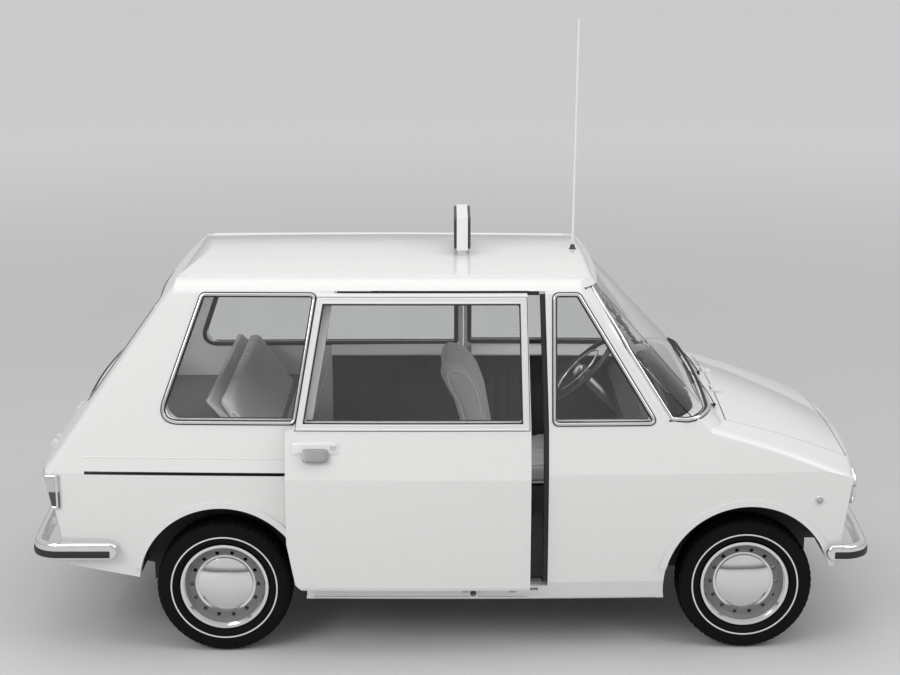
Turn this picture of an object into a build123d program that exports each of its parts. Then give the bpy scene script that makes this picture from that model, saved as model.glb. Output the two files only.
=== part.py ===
from build123d import *
import os

os.makedirs("parts", exist_ok=True)

# Driving dimensions, millimetres: X forward, Y left, Z up, ground at zero
WHEELBASE = 2027.0
FRONT_AXLE_X = 1150.0
REAR_AXLE_X = FRONT_AXLE_X - WHEELBASE
FRONT_TRACK = 1146.0
REAR_TRACK = 1212.0
TYRE_RADIUS = 265.0
TYRE_HALF = 68.0
RIM_RADIUS = 171.0
STUB_RADIUS = 20.0
KINGPIN_INSET = 60.0
ARCH_RADIUS = 325.0
ARCH_Z = 278.0
LIP = 24.0
TUB_SKIN = 12.0

# Body section, half widths and heights
SILL_Z = 222.0
SILL_HALF = 676.0
STEP_Z = 300.0
STEP_HALF = 702.0
CREASE_Z = 735.0
CREASE_HALF = 715.0
GUTTER_Z = 1405.0
GUTTER_HALF = 548.0
SHOULDER_Z = 1457.0
SHOULDER_HALF = 452.0
CROWN_Z = 1481.0
ROOF_SEAM_Z = 1416.0
SILL_SEAM_Z = 283.0

# Wall thicknesses and shut lines
WALL = 46.0
ROOF_WALL = 34.0
HOOD_WALL = 30.0
GAP = 5.0
FIT = 0.3
GLASS_IN = 12.0
GLASS = 5.0
PANE_CORNER = 14.0
QUARTER_CORNER = 56.0
REAR_CORNER = 40.0
FLARE = 9.0

# Ends of the body
NOSE_X = 1602.0
TAIL_X = -1590.0
TAIL_Z = 741.0
SCREEN_BASE_X = 1028.0
SCREEN_BASE_Z = 940.0
SCREEN_LEAN = -0.92
TAIL_LEAN = 0.718
HOOD_TOP = 1003.0
HOOD_MID_X = 1180.0
HOOD_MID_Z = 892.0
HOOD_END_X = 1640.0
HOOD_END_Z = 714.0
HOOD_CROWN = 5000.0
HOOD_ROUND = 30.0
NOSE_ROUND = 30.0
BROW_ROUND = 40.0
TAIL_ROUND = 250.0
FENDER_SEAM = 520.0
NOSE_SEAM_X = 1490.0
TAIL_SEAM = 505.0

# Sliding door as parked, and its open offset
DOOR_BACK = 65.0
DOOR_OUT = 62.0
RAIL_Z = 737.0

# Hinges: driver's door upright, engine lid across
HINGE_X = 797.0
HINGE_Y = 731.0
DOOR_HINGES = (420.0, 630.0)
LID_HINGE_X = TAIL_X - 8.0
LID_HINGE_Z = 733.0
LID_HINGES = (-250.0, 250.0)
HOOD_HINGE_X = 1070.5
HOOD_HINGE_Z = 926.4
HOOD_HINGES = (-150.0, 150.0)
PIN_RADIUS = 4.0
PIN_FIT = 0.06
BARREL_RADIUS = 7.0
LID_SWING = 243.0

# Cabin
FLOOR_Z = 300.0
FLOOR_SKIN = 20.0
FIREWALL_X = 850.0
REAR_WALL_X = -700.0
SHELF_Z = 762.0
SEAT_Z = 420.0
SEAT_ROUND = 22.0
BENCH_Z = 430.0
BENCH_ROUND = 18.0
STEER_X = 560.0
STEER_Y = 300.0
STEER_Z = 880.0
STEER_RADIUS = 185.0

# Lamps
LAMP_Y = 470.0
LAMP_Z = 624.0
LAMP_RADIUS = 76.0
LAMP_FACE = 1578.0
TAIL_LAMP_X = -1494.0
TAIL_LAMP_Z = 598.0

# Roof fittings
AERIAL_X = 500.0
AERIAL_TOP = 2407.0
SIGN_X = 49.0
SIGN_TOP = 1632.0

# Stations along the body: x, change of half width, drop of the roof
STATIONS = [
    (-1750.0, -40.0, 16.0),
    (-550.0, 0.0, 0.0),
    (420.0, 0.0, 4.0),
    (1750.0, -75.0, 30.0),
]


# Outline helpers
def side_prism(points, y_from, y_to, radius=0.0, first_radius=0.0):
    """Outline of (x, z) points drawn across the car from y_from to y_to; its first corner can be rounder."""
    with BuildPart() as prism:
        with BuildSketch(Plane((0, y_from, 0), x_dir=(1, 0, 0), z_dir=(0, -1, 0))) as face:
            with BuildLine():
                Polyline(*points, close=True)
            make_face()
            if radius:
                tips = face.vertices().sort_by_distance(points[0])
                fillet(tips[1:], radius)
                fillet(face.vertices().sort_by_distance(points[0])[0], first_radius or radius)
        extrude(amount=y_from - y_to)
    return prism.part


def end_prism(points, x_from, x_to, radius=0.0):
    """Outline of (y, z) points drawn along the car from x_from to x_to."""
    with BuildPart() as prism:
        with BuildSketch(Plane.YZ.offset(x_from)) as face:
            with BuildLine():
                Polyline(*points, close=True)
            make_face()
            if radius:
                fillet(face.vertices(), radius)
        extrude(amount=x_to - x_from)
    return prism.part


def plan_prism(points, z_from, z_to, radius=0.0):
    """Outline of (x, y) points drawn upward from z_from to z_to."""
    with BuildPart() as prism:
        with BuildSketch(Plane.XY.offset(z_from)) as face:
            with BuildLine():
                Polyline(*points, close=True)
            make_face()
            if radius:
                fillet(face.vertices(), radius)
        extrude(amount=z_to - z_from)
    return prism.part


def block(x0, x1, y0, y1, z0, z1):
    """Box between two corners."""
    with BuildPart() as box:
        with Locations(((x0 + x1) / 2, (y0 + y1) / 2, (z0 + z1) / 2)):
            Box(x1 - x0, y1 - y0, z1 - z0)
    return box.part


def rod(start, end, radius):
    """Round bar from start to end."""
    along = Vector(*end) - Vector(*start)
    with BuildPart() as bar:
        with BuildSketch(Plane(start, z_dir=along)):
            Circle(radius)
        extrude(amount=along.length)
    return bar.part


def grow(points, by):
    """Same outline moved out by a distance (in when negative), from the same first corner."""
    with BuildSketch() as face:
        with BuildLine():
            Polyline(*points, close=True)
        make_face()
        offset(amount=by, kind=Kind.INTERSECTION)
    edges = face.sketch.face().outer_wire().order_edges()
    corners = [(e.position_at(0).X, e.position_at(0).Y) for e in edges]
    start = Vector(*points[0])
    first = min(range(len(corners)), key=lambda k: (Vector(*corners[k]) - start).length)
    return corners[first:] + corners[:first]


# Body hull at a depth below the outer skin
def side_tube(inset, roof_inset, bottom):
    """Cross sections (sill, side, shoulder, crown) lofted along the car."""
    sections = []
    for x, widen, drop in STATIONS:
        upper = 0.8 * widen
        sill = (SILL_HALF + widen - inset, bottom)
        step = (STEP_HALF + widen - inset, STEP_Z)
        crease = (CREASE_HALF + widen - inset, CREASE_Z)
        belly = ((step[0] + crease[0]) / 2 + 5, (STEP_Z + CREASE_Z) / 2)
        gutter = (GUTTER_HALF + upper - inset, GUTTER_Z - 0.25 * roof_inset)
        shoulder = (SHOULDER_HALF + upper - 0.5 * inset, SHOULDER_Z - drop - roof_inset)
        bend = ((gutter[0] + shoulder[0]) / 2 + 14, (gutter[1] + shoulder[1]) / 2 + 11)
        crown = (0, CROWN_Z - drop - roof_inset)
        with BuildSketch(Plane.YZ.offset(x)) as section:
            with BuildLine():
                Line((-sill[0], sill[1]), sill)
                Line(sill, step)
                ThreePointArc(step, belly, crease)
                Line(crease, gutter)
                ThreePointArc(gutter, bend, shoulder)
                ThreePointArc(shoulder, crown, (-shoulder[0], shoulder[1]))
                ThreePointArc((-shoulder[0], shoulder[1]), (-bend[0], bend[1]), (-gutter[0], gutter[1]))
                Line((-gutter[0], gutter[1]), (-crease[0], crease[1]))
                ThreePointArc((-crease[0], crease[1]), (-belly[0], belly[1]), (-step[0], step[1]))
                Line((-step[0], step[1]), (-sill[0], sill[1]))
            make_face()
        sections.append(section.sketch.face())
    with BuildPart() as tube:
        loft(sections)
    return tube.part


def leaning_end(x, z, lean, bow, corner, half, taper, sign, inset):
    """Bowed end with round corners, leaning along the car, narrowing upward, wider away from the end."""
    faces = []
    for level in (-60.0, 1800.0):
        tip = x + lean * (level - z) - sign * inset
        wide = half + taper * (level - z)
        root = -sign * 2600.0
        with BuildSketch(Plane.XY.offset(level)) as outline:
            with BuildLine():
                ThreePointArc((tip - sign * bow, -wide), (tip, 0), (tip - sign * bow, wide))
                Polyline(
                    (tip - sign * bow, wide),
                    (root, wide + 400),
                    (root, -wide - 400),
                    (tip - sign * bow, -wide),
                )
            make_face()
            tips = outline.vertices().sort_by(Axis.X)
            fillet(tips[-2:] if sign > 0 else tips[:2], corner)
        faces.append(outline.sketch.face())
    with BuildPart() as end:
        loft(faces, ruled=True)
    return end.part


def under_hood(inset):
    """Everything below the crowned bonnet line, level behind the windscreen."""
    flat = HOOD_TOP - inset
    axis = Axis((0, 0, HOOD_TOP - HOOD_CROWN), (1, 0, 0))
    with BuildPart() as lower:
        with BuildSketch(Plane.XZ):
            with BuildLine():
                tip = (HOOD_END_X, HOOD_END_Z - inset)
                Polyline(tip, (HOOD_END_X, -100), (-2600, -100), (-2600, flat), (700, flat))
                ThreePointArc((700, flat), (HOOD_MID_X, HOOD_MID_Z - inset), tip)
            make_face()
        revolve(axis=axis, revolution_arc=32)
    return lower.part.rotate(axis, -16)


def body_hull(inset, roof_inset, hood_inset, bottom):
    """Body form at a depth below the outer skin."""
    side_slope = (GUTTER_HALF - CREASE_HALF) / (GUTTER_Z - CREASE_Z)
    tail_half = CREASE_HALF - 20 - inset
    screen_half = CREASE_HALF + side_slope * (SCREEN_BASE_Z - CREASE_Z) + 8 - inset
    with BuildPart() as hull:
        add(side_tube(inset, roof_inset, bottom))
        add(leaning_end(NOSE_X, 690, 0.15, 70, 170, 760, 0, 1, inset), mode=Mode.INTERSECT)
        add(leaning_end(TAIL_X, TAIL_Z, -0.2, 45, 110, 740, 0, -1, inset), mode=Mode.INTERSECT)
        add(
            leaning_end(TAIL_X, TAIL_Z, TAIL_LEAN, 40, 100, tail_half, -0.2, -1, 1.23 * inset),
            mode=Mode.INTERSECT,
        )
        front = leaning_end(
            SCREEN_BASE_X, SCREEN_BASE_Z, SCREEN_LEAN, 25, 190, screen_half, side_slope, 1, 1.36 * inset
        )
        add(front + under_hood(hood_inset), mode=Mode.INTERSECT)
        level = CROWN_Z + 1 - roof_inset
        tip = TAIL_X - 3 + TAIL_LEAN * (level - TAIL_Z) + 1.23 * inset
        turn = [(tip, level), (tip - TAIL_LEAN * (level + 100), -100), (2000, -100), (2000, level)]
        add(side_prism(turn, 900, -900, 1, TAIL_ROUND - roof_inset), mode=Mode.INTERSECT)
    return hull.part


with BuildPart() as rounded:
    add(body_hull(0, 0, 0, SILL_Z))
    for side in (-1, 1):
        fillet(rounded.edges().sort_by_distance((1187, side * 657, 840))[0], HOOD_ROUND)
    fillet(rounded.edges().sort_by_distance((NOSE_X + 5, 0, 730))[0], NOSE_ROUND)
    fillet(rounded.edges().sort_by_distance((535, 0, 1476))[0], BROW_ROUND)
outer = rounded.part
inner = body_hull(WALL, ROOF_WALL, HOOD_WALL, -40)
proud = body_hull(-FLARE, -FLARE, -FLARE, SILL_Z)
glass_face = body_hull(GLASS_IN, GLASS_IN, GLASS_IN, SILL_Z)
glass_back = body_hull(GLASS_IN + GLASS, GLASS_IN + GLASS, GLASS_IN + GLASS, 100)
skin = outer - inner
pane = glass_face - glass_back

# Side outlines, (x, z), doors as closed
RIGHT_DOOR = [
    (372, 288),
    (372, 915),
    (358, 1410),
    (-437, 1410),
    (-520, 930),
    (-558, 905),
    (-558, 480),
    (-527, 310),
    (-505, 288),
]
RIGHT_DOOR_WINDOW = [(340, 942), (330, 1380), (-415, 1380), (-490, 942)]
LEFT_DOOR = [(62, 288), (792, 288), (792, 925), (482, 1410), (62, 1410)]
LEFT_DOOR_WINDOW = [(92, 942), (748, 942), (468, 1380), (92, 1380)]
FRONT_RIGHT_WINDOW = [(404, 930), (776, 930), (486, 1396), (404, 1396)]
QUARTER_WINDOW = [(-1108, 934), (-600, 934), (-522, 1396), (-940, 1396)]
LEFT_MID_WINDOW = [(-560, 934), (22, 934), (22, 1396), (-482, 1396)]
SCREEN_WINDOW = [(838, 928), (1000, 956), (1300, 956), (1300, 1424), (512, 1424)]
REAR_WINDOW = [(-455, 965), (455, 965), (405, 1355), (-405, 1355)]
BONNET_Z = 672.0
ENGINE_LID = [(-400, 500), (400, 500), (400, 728), (-400, 728)]
BONNET = [(1073, -507), (1073, 507), (1125, 507), (1560, 440), (1560, -440), (1125, -507)]

SEAT_PLATE = [(150, SEAT_Z), (172, SEAT_Z), (34, 925), (12, 925)]
SEAT_PAD = [(160, SEAT_Z + FIT), (600, SEAT_Z + FIT), (605, 545), (150, 520)]
SEAT_BACK = [(100, 530), (190, 545), (88, 965), (-45, 965)]
BENCH_PAD = [(-655, BENCH_Z + FIT), (-235, BENCH_Z + FIT), (-225, 560), (-640, 530)]
BENCH_BACK = [(-660, 560), (-600, 620), (-850, 1002), (-925, 1002), (-682, 700)]

# Arches and the tubs inside them, one row per wheel: name, x, y, side, inner wall
WHEELS = [
    ("front_left", FRONT_AXLE_X, FRONT_TRACK / 2, 1, 362.0),
    ("front_right", FRONT_AXLE_X, -FRONT_TRACK / 2, -1, 362.0),
    ("rear_left", REAR_AXLE_X, REAR_TRACK / 2, 1, 505.0),
    ("rear_right", REAR_AXLE_X, -REAR_TRACK / 2, -1, 505.0),
]
with BuildPart() as arch_voids:
    for name, x, y, side, wall in WHEELS:
        add(rod((x, side * wall, ARCH_Z), (x, side * 820, ARCH_Z), ARCH_RADIUS))
with BuildPart() as tub_blocks:
    for name, x, y, side, wall in WHEELS:
        add(rod((x, side * (wall - TUB_SKIN), ARCH_Z), (x, side * 625, ARCH_Z), ARCH_RADIUS + TUB_SKIN))
with BuildPart() as lip_rings:
    for name, x, y, side, wall in WHEELS:
        add(rod((x, side * 600, ARCH_Z), (x, side * 800, ARCH_Z), ARCH_RADIUS + LIP))
    add(arch_voids.part, mode=Mode.SUBTRACT)
    add(proud, mode=Mode.INTERSECT)
    add(glass_face, mode=Mode.SUBTRACT)
    add(block(-1700, 1700, -800, 800, 100, 352), mode=Mode.SUBTRACT)

# Ground line of the overhangs
under_cuts = side_prism([(-1170, 309), (-1800, 424), (-1800, 60), (-1170, 60)], 900, -900)
under_cuts += side_prism([(1430, 372), (1800, 410), (1800, 60), (1430, 60)], 900, -900)

# Skin with everything cut out of it that is not a door or lid
with BuildPart() as shell:
    add(skin)
    add(under_cuts, mode=Mode.SUBTRACT)
    add(arch_voids.part, mode=Mode.SUBTRACT)
    add(side_prism(SCREEN_WINDOW, 800, -800), mode=Mode.SUBTRACT)
    add(end_prism(REAR_WINDOW, -1750, -1000, REAR_CORNER), mode=Mode.SUBTRACT)
    add(side_prism(FRONT_RIGHT_WINDOW, -300, -800, PANE_CORNER), mode=Mode.SUBTRACT)
    add(side_prism(QUARTER_WINDOW, -300, -800, PANE_CORNER, QUARTER_CORNER), mode=Mode.SUBTRACT)
    add(side_prism(QUARTER_WINDOW, 800, 300, PANE_CORNER, QUARTER_CORNER), mode=Mode.SUBTRACT)
    add(side_prism(LEFT_MID_WINDOW, 800, 300, PANE_CORNER), mode=Mode.SUBTRACT)
    add(side_prism(grow(RIGHT_DOOR, GAP), -300, -800), mode=Mode.SUBTRACT)
    add(side_prism(grow(LEFT_DOOR, GAP), 800, 300), mode=Mode.SUBTRACT)
    add(plan_prism(grow(BONNET, GAP), BONNET_Z - GAP, 1100), mode=Mode.SUBTRACT)
    add(end_prism(grow(ENGINE_LID, GAP), -1750, -1350), mode=Mode.SUBTRACT)

pieces = {}

# Roof panel
with BuildPart() as roof:
    add(shell.part)
    add(block(-1800, 1800, -900, 900, ROOF_SEAM_Z, 1700), mode=Mode.INTERSECT)
pieces["roof"] = roof.part

# Nose, tail and scuttle
with BuildPart() as nose_panel:
    add(shell.part)
    add(block(NOSE_SEAM_X, 1800, -900, 900, 0, 1100), mode=Mode.INTERSECT)
    for side in (-1, 1):
        bowl = rod((1400, side * LAMP_Y, LAMP_Z), (1700, side * LAMP_Y, LAMP_Z), LAMP_RADIUS + FIT)
        add(bowl, mode=Mode.SUBTRACT)
pieces["nose_panel"] = nose_panel.part
with BuildPart() as tail_panel:
    add(shell.part)
    add(block(-1800, -1000, -TAIL_SEAM, TAIL_SEAM, 0, ROOF_SEAM_Z), mode=Mode.INTERSECT)
    for y in LID_HINGES:
        for end in (-1, 1):
            near, far = sorted((y + end * 31, y + end * 46))
            add(rod((LID_HINGE_X, near, LID_HINGE_Z), (LID_HINGE_X, far, LID_HINGE_Z), BARREL_RADIUS))
            add(block(LID_HINGE_X, LID_HINGE_X + 26, near, far, LID_HINGE_Z, LID_HINGE_Z + 16))
        add(rod((LID_HINGE_X, y - 40, LID_HINGE_Z), (LID_HINGE_X, y + 40, LID_HINGE_Z), PIN_RADIUS))
pieces["tail_panel"] = tail_panel.part
with BuildPart() as scuttle:
    add(shell.part)
    add(block(700, NOSE_SEAM_X, -FENDER_SEAM, FENDER_SEAM, 600, 1003), mode=Mode.INTERSECT)
    for y in HOOD_HINGES:
        start = (HOOD_HINGE_X, y - 30.5, HOOD_HINGE_Z)
        add(rod(start, (HOOD_HINGE_X, y + 30.5, HOOD_HINGE_Z), BARREL_RADIUS + GAP), mode=Mode.SUBTRACT)
        for end in (-1, 1):
            near, far = sorted((y + end * 31, y + end * 46))
            add(rod((HOOD_HINGE_X, near, HOOD_HINGE_Z), (HOOD_HINGE_X, far, HOOD_HINGE_Z), BARREL_RADIUS))
            add(block(HOOD_HINGE_X - 28, HOOD_HINGE_X, near, far, HOOD_HINGE_Z - 12, HOOD_HINGE_Z + 3))
        add(rod((HOOD_HINGE_X, y - 40, HOOD_HINGE_Z), (HOOD_HINGE_X, y + 40, HOOD_HINGE_Z), PIN_RADIUS))
pieces["scuttle"] = scuttle.part

# Side panels, one row per panel: name, x range, side
PANELS = [
    ("front_quarter_right", 300.0, NOSE_SEAM_X, -1),
    ("front_quarter_left", 300.0, NOSE_SEAM_X, 1),
    ("rear_quarter_right", -1800.0, -300.0, -1),
    ("rear_quarter_left", -1800.0, 60.0, 1),
]
sill_band = block(-545, 815, -900, 900, 0, SILL_SEAM_Z)
for name, x0, x1, side in PANELS:
    with BuildPart() as panel:
        add(shell.part)
        seam = FENDER_SEAM if "front" in name else TAIL_SEAM
        keep = block(x0, x1, min(side * seam, side * 900), max(side * seam, side * 900), 0, 1003)
        top = TAIL_SEAM if "rear" in name else 380.0
        keep += block(x0, x1, min(side * top, side * 900), max(side * top, side * 900), 1003, ROOF_SEAM_Z)
        add(keep, mode=Mode.INTERSECT)
        add(sill_band, mode=Mode.SUBTRACT)
        lips = block(x0, x1, min(0, side * 900), max(0, side * 900), 0, 900) & lip_rings.part
        add(lips)
        if name == "front_quarter_left":
            for z in DOOR_HINGES:
                add(rod((HINGE_X, HINGE_Y, z - 14), (HINGE_X, HINGE_Y, z - 1), 8))
                add(block(HINGE_X, HINGE_X + 40, 690, HINGE_Y + 4, z - 14, z - 1))
                add(rod((HINGE_X, HINGE_Y, z - 5), (HINGE_X, HINGE_Y, z + 72), PIN_RADIUS))
        if name == "rear_quarter_right":
            add(block(-1396, -540, -800, -684, RAIL_Z - 5.3, RAIL_Z + 5.3), mode=Mode.SUBTRACT)
    pieces[name] = panel.part

# Sills with their box beams and jacking tubes
with BuildPart() as sills:
    add(shell.part)
    add(sill_band, mode=Mode.INTERSECT)
    for side in (-1, 1):
        near, far = sorted((side * 560, side * 650))
        add(block(-536, 810, near, far, 226, FLOOR_Z - FLOOR_SKIN))
        add(rod((90, side * 600, 252), (90, side * 700, 252), 20))
    add(arch_voids.part, mode=Mode.SUBTRACT)
    add(block(-545, 340, -800, -664, 262.7, 273.3), mode=Mode.SUBTRACT)
    for side in (-1, 1):
        add(rod((90, side * 620, 252), (90, side * 720, 252), 13), mode=Mode.SUBTRACT)
pieces["sills"] = sills.part

# Bonnet and engine lid
with BuildPart() as bonnet:
    add(skin)
    add(plan_prism(BONNET, BONNET_Z, 1100), mode=Mode.INTERSECT)
    for side in (-1, 1):
        bowl = rod((1400, side * LAMP_Y, LAMP_Z), (1700, side * LAMP_Y, LAMP_Z), LAMP_RADIUS + GAP)
        add(bowl, mode=Mode.SUBTRACT)
    for y in HOOD_HINGES:
        add(rod((HOOD_HINGE_X, y - 30, HOOD_HINGE_Z), (HOOD_HINGE_X, y + 30, HOOD_HINGE_Z), BARREL_RADIUS))
        for end in (-1, 1):
            near, far = sorted((y + end * 30.5, y + end * 52))
            start = (HOOD_HINGE_X, near, HOOD_HINGE_Z)
            add(rod(start, (HOOD_HINGE_X, far, HOOD_HINGE_Z), BARREL_RADIUS + GAP), mode=Mode.SUBTRACT)
        add(block(HOOD_HINGE_X, HOOD_HINGE_X + 30, y - 30, y + 30, HOOD_HINGE_Z - 14, HOOD_HINGE_Z - 2))
        start = (HOOD_HINGE_X, y - 60, HOOD_HINGE_Z)
        add(rod(start, (HOOD_HINGE_X, y + 60, HOOD_HINGE_Z), PIN_RADIUS + PIN_FIT), mode=Mode.SUBTRACT)
pieces["bonnet"] = bonnet.part
with BuildPart() as engine_lid:
    add(skin)
    add(end_prism(ENGINE_LID, -1750, -1350), mode=Mode.INTERSECT)
    swing = rod((LID_HINGE_X, -450, LID_HINGE_Z), (LID_HINGE_X, 450, LID_HINGE_Z), LID_SWING)
    add(swing, mode=Mode.INTERSECT)
    for k in range(9):
        slot = block(-1700, -1350, -300, 300, 530 + 19 * k, 538 + 19 * k)
        add(slot, mode=Mode.SUBTRACT)
    for y in LID_HINGES:
        add(rod((LID_HINGE_X, y - 30, LID_HINGE_Z), (LID_HINGE_X, y + 30, LID_HINGE_Z), BARREL_RADIUS))
        add(block(LID_HINGE_X - 3, LID_HINGE_X + 24, y - 30, y + 30, LID_HINGE_Z - 22, LID_HINGE_Z - 5))
        start = (LID_HINGE_X, y - 60, LID_HINGE_Z)
        add(rod(start, (LID_HINGE_X, y + 60, LID_HINGE_Z), PIN_RADIUS + PIN_FIT), mode=Mode.SUBTRACT)
pieces["engine_lid"] = engine_lid.part

# Doors: the sliding door stands out and back from its opening
with BuildPart() as right_door:
    add(skin)
    add(side_prism(RIGHT_DOOR, -300, -800), mode=Mode.INTERSECT)
    add(side_prism(RIGHT_DOOR_WINDOW, -300, -800, PANE_CORNER), mode=Mode.SUBTRACT)
parked = Location((-DOOR_BACK, -DOOR_OUT, 0))
pieces["sliding_door"] = right_door.part.moved(parked)
with BuildPart() as right_door_glass:
    add(pane)
    add(side_prism(grow(RIGHT_DOOR_WINDOW, -FIT), -300, -800, PANE_CORNER), mode=Mode.INTERSECT)
pieces["sliding_door_glass"] = right_door_glass.part.moved(parked)
with BuildPart() as driver_door:
    add(skin)
    add(side_prism(LEFT_DOOR, 800, 300), mode=Mode.INTERSECT)
    add(side_prism(LEFT_DOOR_WINDOW, 800, 300, PANE_CORNER), mode=Mode.SUBTRACT)
    for z in DOOR_HINGES:
        add(rod((HINGE_X, HINGE_Y, z), (HINGE_X, HINGE_Y, z + 70), 8))
        add(block(HINGE_X - 42, HINGE_X, 700, HINGE_Y + 4, z + 4, z + 66))
        start = (HINGE_X, HINGE_Y, z - 5)
        add(rod(start, (HINGE_X, HINGE_Y, z + 75), PIN_RADIUS + PIN_FIT), mode=Mode.SUBTRACT)
    add(block(HINGE_X - 5, HINGE_X + 40, 600, HINGE_Y - 8.5, 200, 900), mode=Mode.SUBTRACT)
pieces["driver_door"] = driver_door.part
with BuildPart() as driver_door_glass:
    add(pane)
    add(side_prism(grow(LEFT_DOOR_WINDOW, -FIT), 800, 300, PANE_CORNER), mode=Mode.INTERSECT)
pieces["driver_door_glass"] = driver_door_glass.part

# Fixed glass
with BuildPart() as windscreen:
    add(pane)
    add(side_prism(grow(SCREEN_WINDOW, -FIT), 800, -800), mode=Mode.INTERSECT)
pieces["windscreen"] = windscreen.part
with BuildPart() as rear_window:
    add(pane)
    add(end_prism(grow(REAR_WINDOW, -FIT), -1750, -1000, REAR_CORNER), mode=Mode.INTERSECT)
pieces["rear_window"] = rear_window.part
with BuildPart() as side_glass:
    add(pane & side_prism(grow(FRONT_RIGHT_WINDOW, -FIT), -300, -800, PANE_CORNER))
    add(pane & side_prism(grow(QUARTER_WINDOW, -FIT), -300, -800, PANE_CORNER, QUARTER_CORNER))
    add(pane & side_prism(grow(QUARTER_WINDOW, -FIT), 800, 300, PANE_CORNER, QUARTER_CORNER))
    add(pane & side_prism(grow(LEFT_MID_WINDOW, -FIT), 800, 300, PANE_CORNER))
pieces["side_glass"] = side_glass.part

# Door fittings: handles, rollers in the rail and sill, driver's mirror
with BuildPart() as door_carriers:
    with Locations((-600, -697, RAIL_Z)):
        Cylinder(11, 10)
    add(block(-614, -586, -745, -690, RAIL_Z - 2.5, RAIL_Z + 2.5))
    for x in (60, 240):
        with Locations((x, -676, 268)):
            Cylinder(9, 10)
        add(block(x - 12, x + 12, -726, -672, 265.5, 270.5))
        add(block(x - 12, x + 12, -726, -721, 265.5, 300))
    add(right_door.part.moved(parked), mode=Mode.SUBTRACT)
pieces["sliding_door_carriers"] = door_carriers.part
with BuildPart() as sliding_door_handle:
    add(block(-590, -426, -793, -784, 830, 848))
    for x in (-580, -440):
        add(block(x - 6, x + 6, -788, -745, 834, 844))
    add(right_door.part.moved(parked), mode=Mode.SUBTRACT)
pieces["sliding_door_handle"] = sliding_door_handle.part
with BuildPart() as driver_door_fittings:
    add(block(85, 215, 728, 737, 830, 848))
    for x in (95, 205):
        add(block(x - 6, x + 6, 685, 732, 834, 844))
    add(rod((716, 640, 912), (716, 738, 976), 6))
    add(rod((724, 738, 986), (708, 738, 986), 50))
    add(driver_door.part, mode=Mode.SUBTRACT)
pieces["driver_door_fittings"] = driver_door_fittings.part

# Bumpers: bowed blades wrapped round the corners, edges rolled, with brackets
BLADE = 34.0
BLADE_ROUND = 14.0
BLADE_END = 30.0
BLADE_BOW = 30.0
BLADE_CORNER = 105.0
BUMPERS = [
    ("bumper_front", 1, 1645.0, 1452.0, 706.0, 382.0, 448.0, 1537.0),
    ("bumper_rear", -1, -1632.0, -1274.0, 738.0, 397.0, 468.0, -1507.0),
]
for name, sign, tip, root, half, z0, z1, bracket_x in BUMPERS:
    with BuildPart() as bumper:
        for depth, mode in ((0.0, Mode.ADD), (BLADE, Mode.SUBTRACT)):
            far = root - sign * 2 * depth
            wide = half - depth
            bend = tip - sign * (BLADE_BOW + depth)
            with BuildSketch(Plane.XY.offset(z0 - depth)) as blade:
                with BuildLine():
                    ThreePointArc((bend, -wide), (tip - sign * depth, 0), (bend, wide))
                    Polyline((bend, wide), (far, wide), (far, -wide), (bend, -wide))
                make_face()
                tips = blade.vertices().sort_by(Axis.X)
                fillet(tips[-2:] if sign > 0 else tips[:2], BLADE_CORNER - depth)
            extrude(amount=z1 - z0 + 2 * depth, mode=mode)
        ends = [edge for edge in bumper.edges().filter_by(Axis.Y) if abs(edge.center().X - root) < 1]
        fillet(ends, BLADE_END)
        rims = [edge for face in bumper.faces().filter_by(Axis.Z) for edge in face.edges()]
        fillet([edge for edge in rims if edge.length > BLADE_END], BLADE_ROUND)
        near, far = sorted((bracket_x, tip - sign * BLADE / 2))
        for y in (-330, 330):
            add(block(near, far, y - 25, y + 25, z0 + 20, z1 - 20))
        add(outer, mode=Mode.SUBTRACT)
    pieces[name] = bumper.part

# Lamps
with BuildPart() as front_lamps:
    for side in (-1, 1):
        add(rod((LAMP_FACE - 40, side * LAMP_Y, LAMP_Z), (LAMP_FACE, side * LAMP_Y, LAMP_Z), LAMP_RADIUS))
        with BuildSketch(Plane((LAMP_FACE, side * LAMP_Y, LAMP_Z), x_dir=(0, 1, 0), z_dir=(1, 0, 0))):
            Circle(LAMP_RADIUS - 6)
        extrude(amount=12, taper=30)
        lamp = block(1480, 1700, side * 510 - 38, side * 510 + 38, 498, 542)
        add(((lamp & proud) - outer).moved(Location((FIT, 0, 0))))
pieces["front_lamps"] = front_lamps.part
with BuildPart() as tail_lamps:
    for side in (-1, 1):
        near, far = sorted((side * 560, side * 740))
        lamp = block(-1700, TAIL_LAMP_X, near, far, TAIL_LAMP_Z, TAIL_LAMP_Z + 130)
        add(((lamp & proud) - outer).moved(Location((-FIT, side * FIT, 0))))
pieces["tail_lamps"] = tail_lamps.part

# Floor, bulkheads and wheel tubs
inside = body_hull(WALL + 2, ROOF_WALL + 2, HOOD_WALL + 2, 100)
with BuildPart() as floor_pan:
    add(block(REAR_WALL_X, FIREWALL_X + 20, -640, 640, FLOOR_Z - FLOOR_SKIN, FLOOR_Z))
    add(block(FIREWALL_X, 1520, -340, 340, 352, 366))
    add(block(FIREWALL_X, FIREWALL_X + 20, -340, 340, FLOOR_Z - FLOOR_SKIN, 366))
    add(inside, mode=Mode.INTERSECT)
    add(tub_blocks.part, mode=Mode.SUBTRACT)
    add(arch_voids.part, mode=Mode.SUBTRACT)
pieces["floor_pan"] = floor_pan.part
with BuildPart() as front_bulkhead:
    add(block(FIREWALL_X, FIREWALL_X + 20, -640, 640, FLOOR_Z, 905))
    add(block(FIREWALL_X, FIREWALL_X + 20, -340, 340, FLOOR_Z - 30, 366), mode=Mode.SUBTRACT)
    add(inside, mode=Mode.INTERSECT)
    add(tub_blocks.part, mode=Mode.SUBTRACT)
    add(arch_voids.part, mode=Mode.SUBTRACT)
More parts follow.
